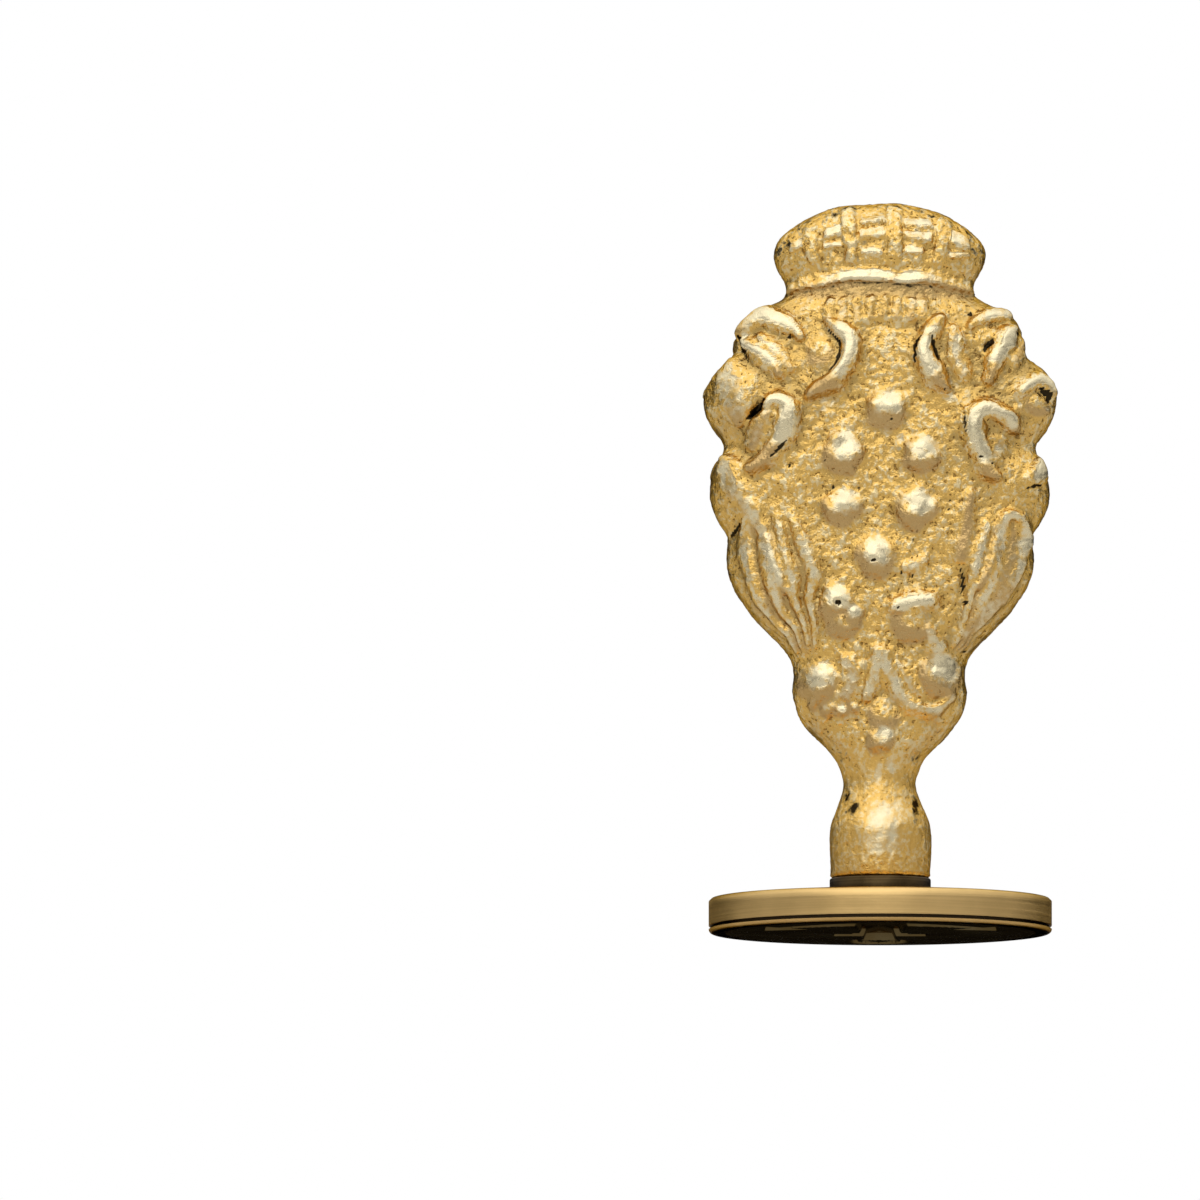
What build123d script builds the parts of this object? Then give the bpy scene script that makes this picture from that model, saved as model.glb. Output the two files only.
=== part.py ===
from build123d import *
from math import radians, sin, sqrt, tan
import os

# Wax seal stamp: engraved brass die, threaded stud, collar ring and cast handle, in millimetres.
# The sealing face is the plane z = 0 round the origin, and the handle stands up along +Z.
# The crest's two broad faces look along -Y (front) and +Y (back) and carry the same relief.

# Die
DIE_DIAMETER = 20.0
DIE_THICKNESS = 2.0
FACE_EDGE_ROUND = 0.4
BACK_EDGE_BEVEL = 0.15

# Anchor cut into the sealing face, drawn on the plane z = 0 with its ring towards +Y
ENGRAVING_DEPTH = 0.6
ENGRAVING_DRAFT = 25.0      # degrees between a cut's wall and upright
ANCHOR_MARGIN = 1.0         # rim to the ring's top, and rim to the crown's point
RING_DIAMETER = 4.1
RING_EYE_DIAMETER = 2.4
SHANK_HEAD_WIDTH = 1.9
SHANK_FOOT_WIDTH = 3.1
STOCK_LENGTH = 5.5
STOCK_WIDTH = 1.7
STOCK_DROP = 5.4            # ring's centre down to the stock's centre line
ARM_SPAN = 11.6             # between the two ends of the arms' lower edge
ARM_SAG = 3.8               # arms' lower edge, middle below ends
ARM_THICKNESS = 2.9         # at the middle
ARM_END_THICKNESS = 0.9
CROWN_POINT_LENGTH = 0.65
CROWN_POINT_WIDTH = 2.0
FLUKE_RISE = 2.5            # outer corner above the arm's end
FLUKE_BARB_DROP = 0.7       # lower barb below the arm's end
FLUKE_OVERHANG = 0.85       # outer corner and lower barb beyond the arm's end
FLUKE_INNER_REACH = 1.7     # inner barb, back from the arm's end and above it

# Threaded stud, soldered into the die's back
STUD_DIAMETER = 3.0
STUD_REACH = 4.0            # length inside the handle
STUD_TIP_BEVEL = 0.3
SEAT_FLOOR = 0.45           # metal between the engraving and the stud's seat
SOLDER_GAP = 0.02

# Collar ring between die and handle
COLLAR_DIAMETER = 5.9
COLLAR_HEIGHT = 1.2
COLLAR_BEVEL = 0.12
COLLAR_CLEARANCE = 0.05     # radial, round the stud

# Handle's tapped hole
THREAD_CLEARANCE = 0.05     # radial
HOLE_RUNOUT = 0.4           # hole deeper than the stud reaches

# Handle's turned neck: every rise is a height above the handle's lower end
FOOT_DIAMETER = 5.9
FOOT_HEIGHT = 2.6
WAIST_DIAMETER = 4.2
WAIST_RISE = 5.5
BULB_DIAMETER = 4.8
BULB_RISE = 9.4

# Crest's body: thick in the middle, thinner at its rim, its foot and its crown
CREST_THICKNESS = 6.2
CREST_FOOT_THICKNESS = 4.6
CROWN_THICKNESS = 4.6
RIM_THICKNESS = 1.8
SHOULDER_SLOPE_RISE = 0.8   # line on the shoulder's upper slope, in radii above its centre
SHOULDER_SLOPE_OUT = 0.66   # and in radii off its centre
LOBE_FLAT_SHARE = 0.4       # part of a lobe's radius over which the rounding keeps the lobe's full width
FACE_FLAT_MARGIN = 0.3      # rounding ellipses' middle beyond the face, which leaves the face flat there
RELIEF_HEIGHT = 0.45

# Lobes of the crest's outline, from the top down: distance off the axis, rise and radius
SHOULDER_OFFSET = 5.9
SHOULDER_RISE = 31.1
SHOULDER_RADIUS = 2.5
UPPER_LOBE_OFFSET = 7.3
UPPER_LOBE_RISE = 27.8
UPPER_LOBE_RADIUS = 2.95
LOWER_LOBE_OFFSET = 6.35
LOWER_LOBE_RISE = 22.6
LOWER_LOBE_RADIUS = 3.55
FLANK_OFFSET = 5.2
FLANK_RISE = 18.6
FLANK_RADIUS = 3.75
VOLUTE_OFFSET = 3.1
VOLUTE_RISE = 10.9
VOLUTE_RADIUS = 2.05
BASE_WIDTH = 5.4            # where the crest grows out of the neck
BASE_RISE = 7.0

# Crown on top of the crest
CROWN_WAIST_WIDTH = 10.9
CROWN_WAIST_RISE = 34.2
CROWN_WIDTH = 12.3
CROWN_WIDEST_RISE = 36.2
CROWN_TOP_RISE = 39.5
# Rounding of the dome: share of its height, and share of the crown's width and depth there
DOME_LINES = ((0.4, 0.96), (0.7, 0.78), (0.9, 0.52), (1.0, 0.25))
CROWN_BAND_RISE = 35.2
CROWN_BAND_SAG = 0.6        # band's ends below its middle
CROWN_BAND_WIDTH = 1.0
CROWN_RIB_WIDTH = 0.7
CROWN_RIB_PITCH = 2.5
CROWN_RIBS_PER_SIDE = 2
CROWN_RIB_SPREAD = 0.35     # each rib's top further out than its foot

# Relief on the crest's faces
ROUNDEL_DIAMETER = 2.3
ROUNDEL_PROUD = 0.85        # above the crest's face
ROUNDEL_CENTRE_RISE = 23.3
ROUNDEL_COLUMN = 8.7        # top roundel to bottom roundel
ROUNDEL_ROW = 4.6           # left to right
ROUNDEL_ROW_STEP = 3.1      # upper row to lower row
REED_COUNT = 5              # short upright reeds under the crown
REED_PITCH = 1.2
REED_WIDTH = 0.6
REED_LENGTH = 1.6
REED_RISE = 32.9
SCROLL_WIDTH = 0.85         # each scroll is an arc: where it starts and how far it turns, degrees
HEAD_SCROLL_OFFSET = 2.9
HEAD_SCROLL_RISE = 30.5
HEAD_SCROLL_RADIUS = 1.5
HEAD_SCROLL_START = 90
HEAD_SCROLL_TURN = 180
SIDE_SCROLL_OFFSET = 6.7
SIDE_SCROLL_RISE = 26.0
SIDE_SCROLL_RADIUS = 1.5
SIDE_SCROLL_START = 30
SIDE_SCROLL_TURN = 210
SHOULDER_CURL_RADIUS = 1.3
SHOULDER_CURL_START = -60
SHOULDER_CURL_TURN = 240
FLUTE_COUNT = 4             # long curved ribs down each flank
FLUTE_WIDTH = 0.55
FLUTE_INNER_OFFSET = 4.4
FLUTE_PITCH = 1.15
FLUTE_TOP_RISE = 20.6
FLUTE_FOOT_OFFSET = 3.8
FLUTE_FOOT_PITCH = 0.6
FLUTE_FOOT_RISE = 13.8
FLUTE_BOW = 0.5             # middle of a rib, out from its chord
BEAD_DIAMETER = 1.8         # pair of lumps under the roundels
BEAD_OFFSET = 2.25
BEAD_RISE = 15.7
BOSS_DIAMETER = 2.0         # eyes of the lower volutes
BOSS_OFFSET = 3.5
BOSS_RISE = 11.6
PALMETTE_RISE = 12.6        # forked ridge between the volutes
PALMETTE_FOOT_OFFSET = 1.3
PALMETTE_FOOT_RISE = 10.2
PALMETTE_CURL_RADIUS = 1.6
PALMETTE_CURL_START = 200
PALMETTE_CURL_TURN = 140
LIP_WIDTH = 2.0             # short ridge under the pendant tongue
LIP_RISE = 7.9

LOWEST = (Align.CENTER, Align.CENTER, Align.MIN)

seat_z = ENGRAVING_DEPTH + SEAT_FLOOR
collar_z = DIE_THICKNESS
handle_z = DIE_THICKNESS + COLLAR_HEIGHT
stud_top_z = handle_z + STUD_REACH
widest_offset = UPPER_LOBE_OFFSET + UPPER_LOBE_RADIUS


def both_sides(shape):
    """A shape together with its mirror image across the plane x = 0."""
    return shape + mirror(shape, about=Plane.YZ)


def upright_cylinder(radius, bottom, top):
    """A cylinder on the Z axis between two heights."""
    return Pos(0, 0, bottom) * Cylinder(radius, top - bottom, align=LOWEST)


def anchor_ring():
    """The ring's tapered groove, with its tapered eye left standing."""
    lean = ENGRAVING_DEPTH * tan(radians(ENGRAVING_DRAFT))
    outer = RING_DIAMETER / 2
    eye = RING_EYE_DIAMETER / 2
    groove = Cone(outer, outer - lean, ENGRAVING_DEPTH, align=LOWEST)
    return groove - Cone(eye, eye + lean, ENGRAVING_DEPTH, align=LOWEST)


def anchor_arms(end_y):
    """Outline of the two curved arms, the point under them and the flukes on their ends."""
    end_x = ARM_SPAN / 2
    low_y = end_y - ARM_SAG
    lower_edge = ThreePointArc((-end_x, end_y), (0, low_y), (end_x, end_y))
    right_end = Line((end_x, end_y), (end_x, end_y + ARM_END_THICKNESS))
    upper_edge = ThreePointArc(
        (end_x, end_y + ARM_END_THICKNESS),
        (0, low_y + ARM_THICKNESS),
        (-end_x, end_y + ARM_END_THICKNESS),
    )
    left_end = Line((-end_x, end_y + ARM_END_THICKNESS), (-end_x, end_y))
    arms = make_face([lower_edge, right_end, upper_edge, left_end])
    point_top = low_y + ARM_THICKNESS / 2
    point = make_face(Polyline(
        (-CROWN_POINT_WIDTH / 2, point_top),
        (0, low_y - CROWN_POINT_LENGTH),
        (CROWN_POINT_WIDTH / 2, point_top),
        close=True,
    ))
    fluke = make_face(Polyline(
        (end_x + FLUKE_OVERHANG, end_y + FLUKE_RISE),
        (end_x - FLUKE_INNER_REACH, end_y + FLUKE_INNER_REACH),
        (end_x + FLUKE_OVERHANG, end_y - FLUKE_BARB_DROP),
        close=True,
    ))
    return [arms, point, fluke, mirror(fluke, about=Plane.YZ)]


def anchor_cut():
    """The solid that the engraver takes out of the sealing face, up from z = 0."""
    reach = DIE_DIAMETER / 2 - ANCHOR_MARGIN
    ring_y = reach - RING_DIAMETER / 2
    stock_y = ring_y - STOCK_DROP
    arm_end_y = -reach + CROWN_POINT_LENGTH + ARM_SAG
    arm_middle_y = arm_end_y - ARM_SAG + ARM_THICKNESS / 2
    shank_top = ring_y - (RING_DIAMETER + RING_EYE_DIAMETER) / 4
    shank = make_face(Polyline(
        (-SHANK_FOOT_WIDTH / 2, arm_middle_y),
        (SHANK_FOOT_WIDTH / 2, arm_middle_y),
        (SHANK_HEAD_WIDTH / 2, shank_top),
        (-SHANK_HEAD_WIDTH / 2, shank_top),
        close=True,
    ))
    stock = Pos(0, stock_y) * Rectangle(STOCK_LENGTH, STOCK_WIDTH)
    outlines = [shank, stock, *anchor_arms(arm_end_y)]
    cuts = [extrude(outline, amount=ENGRAVING_DEPTH, dir=(0, 0, 1), taper=ENGRAVING_DRAFT)
            for outline in outlines]
    return Pos(0, ring_y, 0) * anchor_ring() + cuts


def make_die():
    """Round die: rounded face edge, bevelled back edge, stud seat in the back, anchor in the face."""
    disc = upright_cylinder(DIE_DIAMETER / 2, 0, DIE_THICKNESS)
    disc = fillet(disc.edges().sort_by(Axis.Z)[0], FACE_EDGE_ROUND)
    disc = chamfer(disc.edges().sort_by(Axis.Z)[-1], BACK_EDGE_BEVEL)
    seat = upright_cylinder(STUD_DIAMETER / 2 + SOLDER_GAP, seat_z, DIE_THICKNESS)
    return disc - seat - anchor_cut()


def make_stud():
    """Stud, plain where its thread runs, from its seat in the die up into the handle."""
    stud = upright_cylinder(STUD_DIAMETER / 2, seat_z, stud_top_z)
    return chamfer(stud.edges().sort_by(Axis.Z)[-1], STUD_TIP_BEVEL)


def make_collar():
    """Plain turned ring that fills the space between the die's back and the handle's foot."""
    ring = upright_cylinder(COLLAR_DIAMETER / 2, collar_z, handle_z)
    ring = chamfer(ring.edges(), COLLAR_BEVEL)
    return ring - upright_cylinder(STUD_DIAMETER / 2 + COLLAR_CLEARANCE, collar_z, handle_z)


def disc_at(offset, rise, radius):
    """A filled circle in the crest's outline."""
    return Pos(offset, rise) * Circle(radius)


def crown_outline():
    """Crown: an elliptical dome over a waist that flares upwards."""
    dome = Ellipse(CROWN_WIDTH / 2, CROWN_TOP_RISE - CROWN_WIDEST_RISE)
    upper_half = Rectangle(CROWN_WIDTH, CROWN_TOP_RISE, align=(Align.CENTER, Align.MIN))
    flare = make_face(Polyline(
        (-CROWN_WAIST_WIDTH / 2, CROWN_WAIST_RISE),
        (CROWN_WAIST_WIDTH / 2, CROWN_WAIST_RISE),
        (CROWN_WIDTH / 2, CROWN_WIDEST_RISE),
        (-CROWN_WIDTH / 2, CROWN_WIDEST_RISE),
        close=True,
    ))
    return flare + Pos(0, CROWN_WIDEST_RISE) * (dome & upper_half)


def crest_outline():
    """Front view of the crest: a core between the lobes' centres, the lobes and the crown."""
    slant = sin(radians(45))
    flank_low = (FLANK_OFFSET + FLANK_RADIUS * slant, FLANK_RISE - FLANK_RADIUS * slant)
    volute_high = (VOLUTE_OFFSET + VOLUTE_RADIUS * slant, VOLUTE_RISE + VOLUTE_RADIUS * slant)
    volute_low = (VOLUTE_OFFSET + VOLUTE_RADIUS * slant, VOLUTE_RISE - VOLUTE_RADIUS * slant)
    right_half = make_face(Polyline(
        (0, BASE_RISE),
        (BASE_WIDTH / 2, BASE_RISE),
        volute_low,
        volute_high,
        flank_low,
        (FLANK_OFFSET + FLANK_RADIUS, FLANK_RISE),
        (LOWER_LOBE_OFFSET, LOWER_LOBE_RISE),
        (UPPER_LOBE_OFFSET, UPPER_LOBE_RISE),
        (SHOULDER_OFFSET, SHOULDER_RISE),
        (CROWN_WAIST_WIDTH / 2, CROWN_WAIST_RISE),
        (0, CROWN_WAIST_RISE),
        close=True,
    ))
    lobes = [
        disc_at(SHOULDER_OFFSET, SHOULDER_RISE, SHOULDER_RADIUS),
        disc_at(UPPER_LOBE_OFFSET, UPPER_LOBE_RISE, UPPER_LOBE_RADIUS),
        disc_at(LOWER_LOBE_OFFSET, LOWER_LOBE_RISE, LOWER_LOBE_RADIUS),
        disc_at(FLANK_OFFSET, FLANK_RISE, FLANK_RADIUS),
        disc_at(VOLUTE_OFFSET, VOLUTE_RISE, VOLUTE_RADIUS),
    ]
    return both_sides(right_half + lobes) + crown_outline()


def crown_relief():
    """Band across the foot of the crown, and the ribs that fan out above it."""
    half_band = CROWN_WAIST_WIDTH / 2
    ends_rise = CROWN_BAND_RISE - CROWN_BAND_SAG
    band_line = ThreePointArc((-half_band, ends_rise), (0, CROWN_BAND_RISE), (half_band, ends_rise))
    relief = trace(band_line, CROWN_BAND_WIDTH)
    for number in range(CROWN_RIBS_PER_SIDE):
        foot = (number + 0.5) * CROWN_RIB_PITCH
        top = foot + (number + 0.5) * CROWN_RIB_SPREAD
        rib = trace(Line((foot, CROWN_BAND_RISE), (top, CROWN_TOP_RISE)), CROWN_RIB_WIDTH)
        relief += both_sides(rib)
    return relief


def reed_relief():
    """Row of short upright reeds under the crown."""
    reeds = []
    for number in range(REED_COUNT):
        offset = (number - (REED_COUNT - 1) / 2) * REED_PITCH
        reeds.append(Pos(offset, REED_RISE) * Rectangle(REED_WIDTH, REED_LENGTH))
    return reeds


def scroll_relief():
    """Curled ridges of the right half: head scroll, shoulder curl and side scroll."""
    head_centre = (HEAD_SCROLL_OFFSET, HEAD_SCROLL_RISE)
    head = CenterArc(head_centre, HEAD_SCROLL_RADIUS, HEAD_SCROLL_START, HEAD_SCROLL_TURN)
    curl_centre = (SHOULDER_OFFSET, SHOULDER_RISE)
    curl = CenterArc(curl_centre, SHOULDER_CURL_RADIUS, SHOULDER_CURL_START, SHOULDER_CURL_TURN)
    side_centre = (SIDE_SCROLL_OFFSET, SIDE_SCROLL_RISE)
    side = CenterArc(side_centre, SIDE_SCROLL_RADIUS, SIDE_SCROLL_START, SIDE_SCROLL_TURN)
    return [trace(line, SCROLL_WIDTH) for line in (head, curl, side)]


def flute_relief():
    """Long curved ribs of the right flank, drawn together towards their feet."""
    flutes = []
    for number in range(FLUTE_COUNT):
        top = (FLUTE_INNER_OFFSET + number * FLUTE_PITCH, FLUTE_TOP_RISE)
        foot = (FLUTE_FOOT_OFFSET + number * FLUTE_FOOT_PITCH, FLUTE_FOOT_RISE)
        middle = ((top[0] + foot[0]) / 2 + FLUTE_BOW, (top[1] + foot[1]) / 2)
        flutes.append(trace(ThreePointArc(top, middle, foot), FLUTE_WIDTH))
    return flutes


def palmette_relief():
    """Forked ridge of the right half, and the curl that carries it round the volute's eye."""
    fork = Line((0, PALMETTE_RISE), (PALMETTE_FOOT_OFFSET, PALMETTE_FOOT_RISE))
    eye = (BOSS_OFFSET, BOSS_RISE)
    curl = CenterArc(eye, PALMETTE_CURL_RADIUS, PALMETTE_CURL_START, PALMETTE_CURL_TURN)
    return [trace(line, FLUTE_WIDTH) for line in (fork, curl)]


def rounding_lines():
    """Rise and half-width of a few lines across the crest, none inside the outline, from neck to crown."""
    volute_side = VOLUTE_OFFSET + VOLUTE_RADIUS
    upper_side = UPPER_LOBE_OFFSET + UPPER_LOBE_RADIUS
    shoulder_side = SHOULDER_OFFSET + SHOULDER_RADIUS
    slope_rise = SHOULDER_RISE + SHOULDER_RADIUS * SHOULDER_SLOPE_RISE
    slope_side = SHOULDER_OFFSET + SHOULDER_RADIUS * SHOULDER_SLOPE_OUT
    return (
        (BASE_RISE, BASE_WIDTH / 2),
        (VOLUTE_RISE - VOLUTE_RADIUS * LOBE_FLAT_SHARE, volute_side),
        (VOLUTE_RISE + VOLUTE_RADIUS * LOBE_FLAT_SHARE, volute_side),
        (FLANK_RISE - FLANK_RADIUS * LOBE_FLAT_SHARE, FLANK_OFFSET + FLANK_RADIUS),
        (LOWER_LOBE_RISE, LOWER_LOBE_OFFSET + LOWER_LOBE_RADIUS),
        (UPPER_LOBE_RISE - UPPER_LOBE_RADIUS * LOBE_FLAT_SHARE, upper_side),
        (UPPER_LOBE_RISE + UPPER_LOBE_RADIUS * LOBE_FLAT_SHARE, upper_side),
        (SHOULDER_RISE, shoulder_side),
        (SHOULDER_RISE + SHOULDER_RADIUS * LOBE_FLAT_SHARE, shoulder_side),
        (slope_rise, slope_side),
        (CROWN_WAIST_RISE, CROWN_WAIST_WIDTH / 2),
        (CROWN_WIDEST_RISE, CROWN_WIDTH / 2),
    )


def bow_depth(rise):
    """Half of the crest's thickness on its middle line: a bow from its foot over its middle to its crown."""
    if rise < ROUNDEL_CENTRE_RISE:
        end_depth = CREST_FOOT_THICKNESS / 2
        way = (ROUNDEL_CENTRE_RISE - rise) / (ROUNDEL_CENTRE_RISE - BASE_RISE)
    else:
        end_depth = CROWN_THICKNESS / 2
        way = (rise - ROUNDEL_CENTRE_RISE) / (CROWN_TOP_RISE - ROUNDEL_CENTRE_RISE)
    return CREST_THICKNESS / 2 - (CREST_THICKNESS / 2 - end_depth) * way ** 2


def rounding_ellipse(rise, half_width, proud, share=1.0):
    """An ellipse across the crest that is as thick as the rim where the outline ends."""
    half_depth = bow_depth(rise) + FACE_FLAT_MARGIN
    rim_share = RIM_THICKNESS / 2 / half_depth
    spread = half_width / sqrt(1 - rim_share ** 2)
    return Pos(0, 0, rise) * Ellipse(spread * share, (half_depth + proud) * share)


def crest_slab(outline, proud):
    """The outline's solid: elliptical across, bowed along its height, its faces moved out by proud."""
    ellipses = [rounding_ellipse(rise, half_width, proud) for rise, half_width in rounding_lines()]
    for climb, share in DOME_LINES:
        rise = CROWN_WIDEST_RISE + (CROWN_TOP_RISE - CROWN_WIDEST_RISE) * climb
        ellipses.append(rounding_ellipse(rise, CROWN_WIDTH / 2, proud, share))
    rounded = loft(ellipses, ruled=True)
    half_depth = CREST_THICKNESS / 2 + proud
    foot = (CREST_FOOT_THICKNESS / 2 + proud, BASE_RISE)
    top = (CROWN_THICKNESS / 2 + proud, CROWN_TOP_RISE)
    bow = ThreePointArc(foot, (half_depth, ROUNDEL_CENTRE_RISE), top)
    middle = Polyline(top, (0, CROWN_TOP_RISE), (0, BASE_RISE), foot)
    side_view = both_sides(make_face([bow, middle]))
    along = extrude(Plane.YZ * side_view, amount=widest_offset, both=True)
    block = extrude(Plane.XZ * outline, amount=half_depth + FACE_FLAT_MARGIN, both=True)
    return block & rounded & along


def knob(offset, rise, diameter, proud):
    """A pair of balls, front and back, poles outwards, that stand proud of the crest's middle line there."""
    depth = bow_depth(rise) + proud - diameter / 2
    ball = Pos(offset, -depth, rise) * Rot(90, 0, 0) * Sphere(diameter / 2)
    return [ball, mirror(ball, about=Plane.XZ)]


def roundels():
    """Six roundels on each face, set in a tall hexagon."""
    places = [(0, ROUNDEL_COLUMN / 2), (0, -ROUNDEL_COLUMN / 2)]
    for side in (-1, 1):
        for row in (-1, 1):
            places.append((side * ROUNDEL_ROW / 2, row * ROUNDEL_ROW_STEP / 2))
    balls = []
    for offset, step in places:
        balls += knob(offset, ROUNDEL_CENTRE_RISE + step, ROUNDEL_DIAMETER, ROUNDEL_PROUD)
    return balls


def beads_and_bosses():
    """Lumps under the roundels and the eyes of the lower volutes, on both faces."""
    balls = []
    for side in (-1, 1):
        balls += knob(side * BEAD_OFFSET, BEAD_RISE, BEAD_DIAMETER, RELIEF_HEIGHT)
        balls += knob(side * BOSS_OFFSET, BOSS_RISE, BOSS_DIAMETER, RELIEF_HEIGHT)
    return balls


def neck():
    """Turned neck: straight foot, narrow waist and a bulb that runs up into the crest."""
    foot = FOOT_DIAMETER / 2
    bulb = BULB_DIAMETER / 2
    side = Spline(
        (foot, FOOT_HEIGHT),
        (WAIST_DIAMETER / 2, WAIST_RISE),
        (bulb, BULB_RISE),
        tangents=((0, 1), (0, 1)),
    )
    ends = Polyline((bulb, BULB_RISE), (0, BULB_RISE + bulb), (0, 0), (foot, 0), (foot, FOOT_HEIGHT))
    profile = make_face([side, ends])
    return revolve(Plane.XZ * profile, axis=Axis.Z)


def make_handle():
    """Cast handle: crowned crest on a turned neck, with a blind tapped hole for the stud."""
    outline = crest_outline()
    half_relief = scroll_relief() + flute_relief() + palmette_relief()
    lip = Pos(0, LIP_RISE) * Rectangle(LIP_WIDTH, FLUTE_WIDTH)
    drawn = crown_relief() + reed_relief() + half_relief + lip
    drawn += [mirror(shape, about=Plane.YZ) for shape in half_relief]
    raised = crest_slab(drawn & outline, RELIEF_HEIGHT)
    casting = crest_slab(outline, 0) + raised + neck()
    for ball in roundels() + beads_and_bosses():
        casting += ball
    hole = upright_cylinder(STUD_DIAMETER / 2 + THREAD_CLEARANCE, 0, STUD_REACH + HOLE_RUNOUT)
    return Pos(0, 0, handle_z) * (casting - hole)


os.makedirs("parts", exist_ok=True)
export_step(make_die(), "parts/die.step")
export_step(make_stud(), "parts/stud.step")
export_step(make_collar(), "parts/collar.step")
export_step(make_handle(), "parts/handle.step")
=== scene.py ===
"""Looks of the wax seal stamp: a cast brass crest on a turned collar, screwed over a round engraved die."""
from math import cos, pi, radians, sin

import bpy
import numpy as np
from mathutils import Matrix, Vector


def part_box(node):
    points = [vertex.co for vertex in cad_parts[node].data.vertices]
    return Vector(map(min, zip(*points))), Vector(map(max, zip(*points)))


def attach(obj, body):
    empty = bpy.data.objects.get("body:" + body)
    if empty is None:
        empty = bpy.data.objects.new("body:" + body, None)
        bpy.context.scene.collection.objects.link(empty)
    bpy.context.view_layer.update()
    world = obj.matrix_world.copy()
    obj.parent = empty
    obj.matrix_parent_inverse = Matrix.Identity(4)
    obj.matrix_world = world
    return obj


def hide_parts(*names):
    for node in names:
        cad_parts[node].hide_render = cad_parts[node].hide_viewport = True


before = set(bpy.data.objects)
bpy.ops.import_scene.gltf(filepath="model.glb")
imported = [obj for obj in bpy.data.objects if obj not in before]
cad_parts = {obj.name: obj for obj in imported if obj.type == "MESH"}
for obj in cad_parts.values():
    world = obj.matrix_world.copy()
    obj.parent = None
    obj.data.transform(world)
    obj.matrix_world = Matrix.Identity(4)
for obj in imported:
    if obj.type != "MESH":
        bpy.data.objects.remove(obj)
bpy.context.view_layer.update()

# Lengths are in millimetres. A rise is a height above the casting's lower end.
MM = 0.001

# Lobes of the crest's outline, each a disc: sideways offset of its centre, rise, radius.
OUTLINE_LOBES = (
    (5.9, 31.1, 2.5),
    (7.3, 27.8, 2.95),
    (8.1, 25.0, 1.0),
    (6.35, 22.6, 3.55),
    (5.2, 18.6, 3.75),
    (3.1, 10.9, 2.0),
)
# Half-widths of the neck and of the straight flanks between the lobes, as rise and half-width.
NECK_WIDTHS = (
    (0.0, 2.93), (2.6, 2.95), (3.5, 2.76), (4.4, 2.4), (5.5, 2.1), (6.7, 2.45), (7.3, 2.85), (8.1, 3.65),
    (9.2, 4.6), (10.2, 4.95), (12.3, 5.0), (13.3, 5.5), (15.1, 7.25), (16.2, 8.05), (17.4, 8.55),
    (19.8, 8.85), (31.5, 7.6), (33.3, 6.6), (34.0, 5.55), (34.9, 5.55), (36.3, 6.15), (41.0, 6.3),
)
# Half-depths, as rise and half-depth, and then the rounded oval's powers, as rise and power.
NECK_DEPTHS = (
    (0.0, 2.93), (2.6, 2.95), (3.5, 2.76), (4.4, 2.4), (5.5, 2.1), (6.7, 2.15), (8.0, 2.3), (11.0, 2.45),
    (16.0, 2.8), (23.3, 3.05), (30.0, 2.8), (34.3, 2.35), (36.3, 2.45), (41.0, 2.45),
)
ROUNDNESS = ((0.0, 2.0), (6.5, 2.0), (12.0, 2.3), (20.0, 2.5), (30.0, 2.5), (36.0, 2.7), (41.0, 2.7))
OUTLINE_SOFTENING = 0.22
OUTLINE_BELL_REACH = 4
OUTLINE_LOW = -2.0
OUTLINE_HIGH = 40.3
OUTLINE_SAMPLES = 2400
DOME_START = 36.3
DOME_TOP = 39.5
DOME_FULLNESS = 1.9
DOME_DEPTH_FULLNESS = 2.6
BORE_RADIUS = 1.55
BORE_DEPTH = 4.4
BORE_TIP = 0.3
BORE_TIP_RADIUS = 0.4
BORE_BEVEL = 0.1
FOOT_BEVEL = 0.15

CASTING_COLUMNS = 306
NECK_ROWS = 44
CREST_ROWS = 232
DOME_ROWS = 38
NECK_TOP = 7.4
# A nominal section of the crest, round which the columns stand evenly.
SECTION_HALF_WIDTH = 9.2
SECTION_HALF_DEPTH = 3.1
SECTION_ROUNDNESS = 2.5
SECTION_SAMPLES = 20001
SHORTEST_NORMAL = 1e-12
# Edges bent by more than these angles, in degrees, show as creases.
CASTING_CREASE = 80
DIE_CREASE = 50
COLLAR_CREASE = 25
STUD_CREASE = 50

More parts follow.
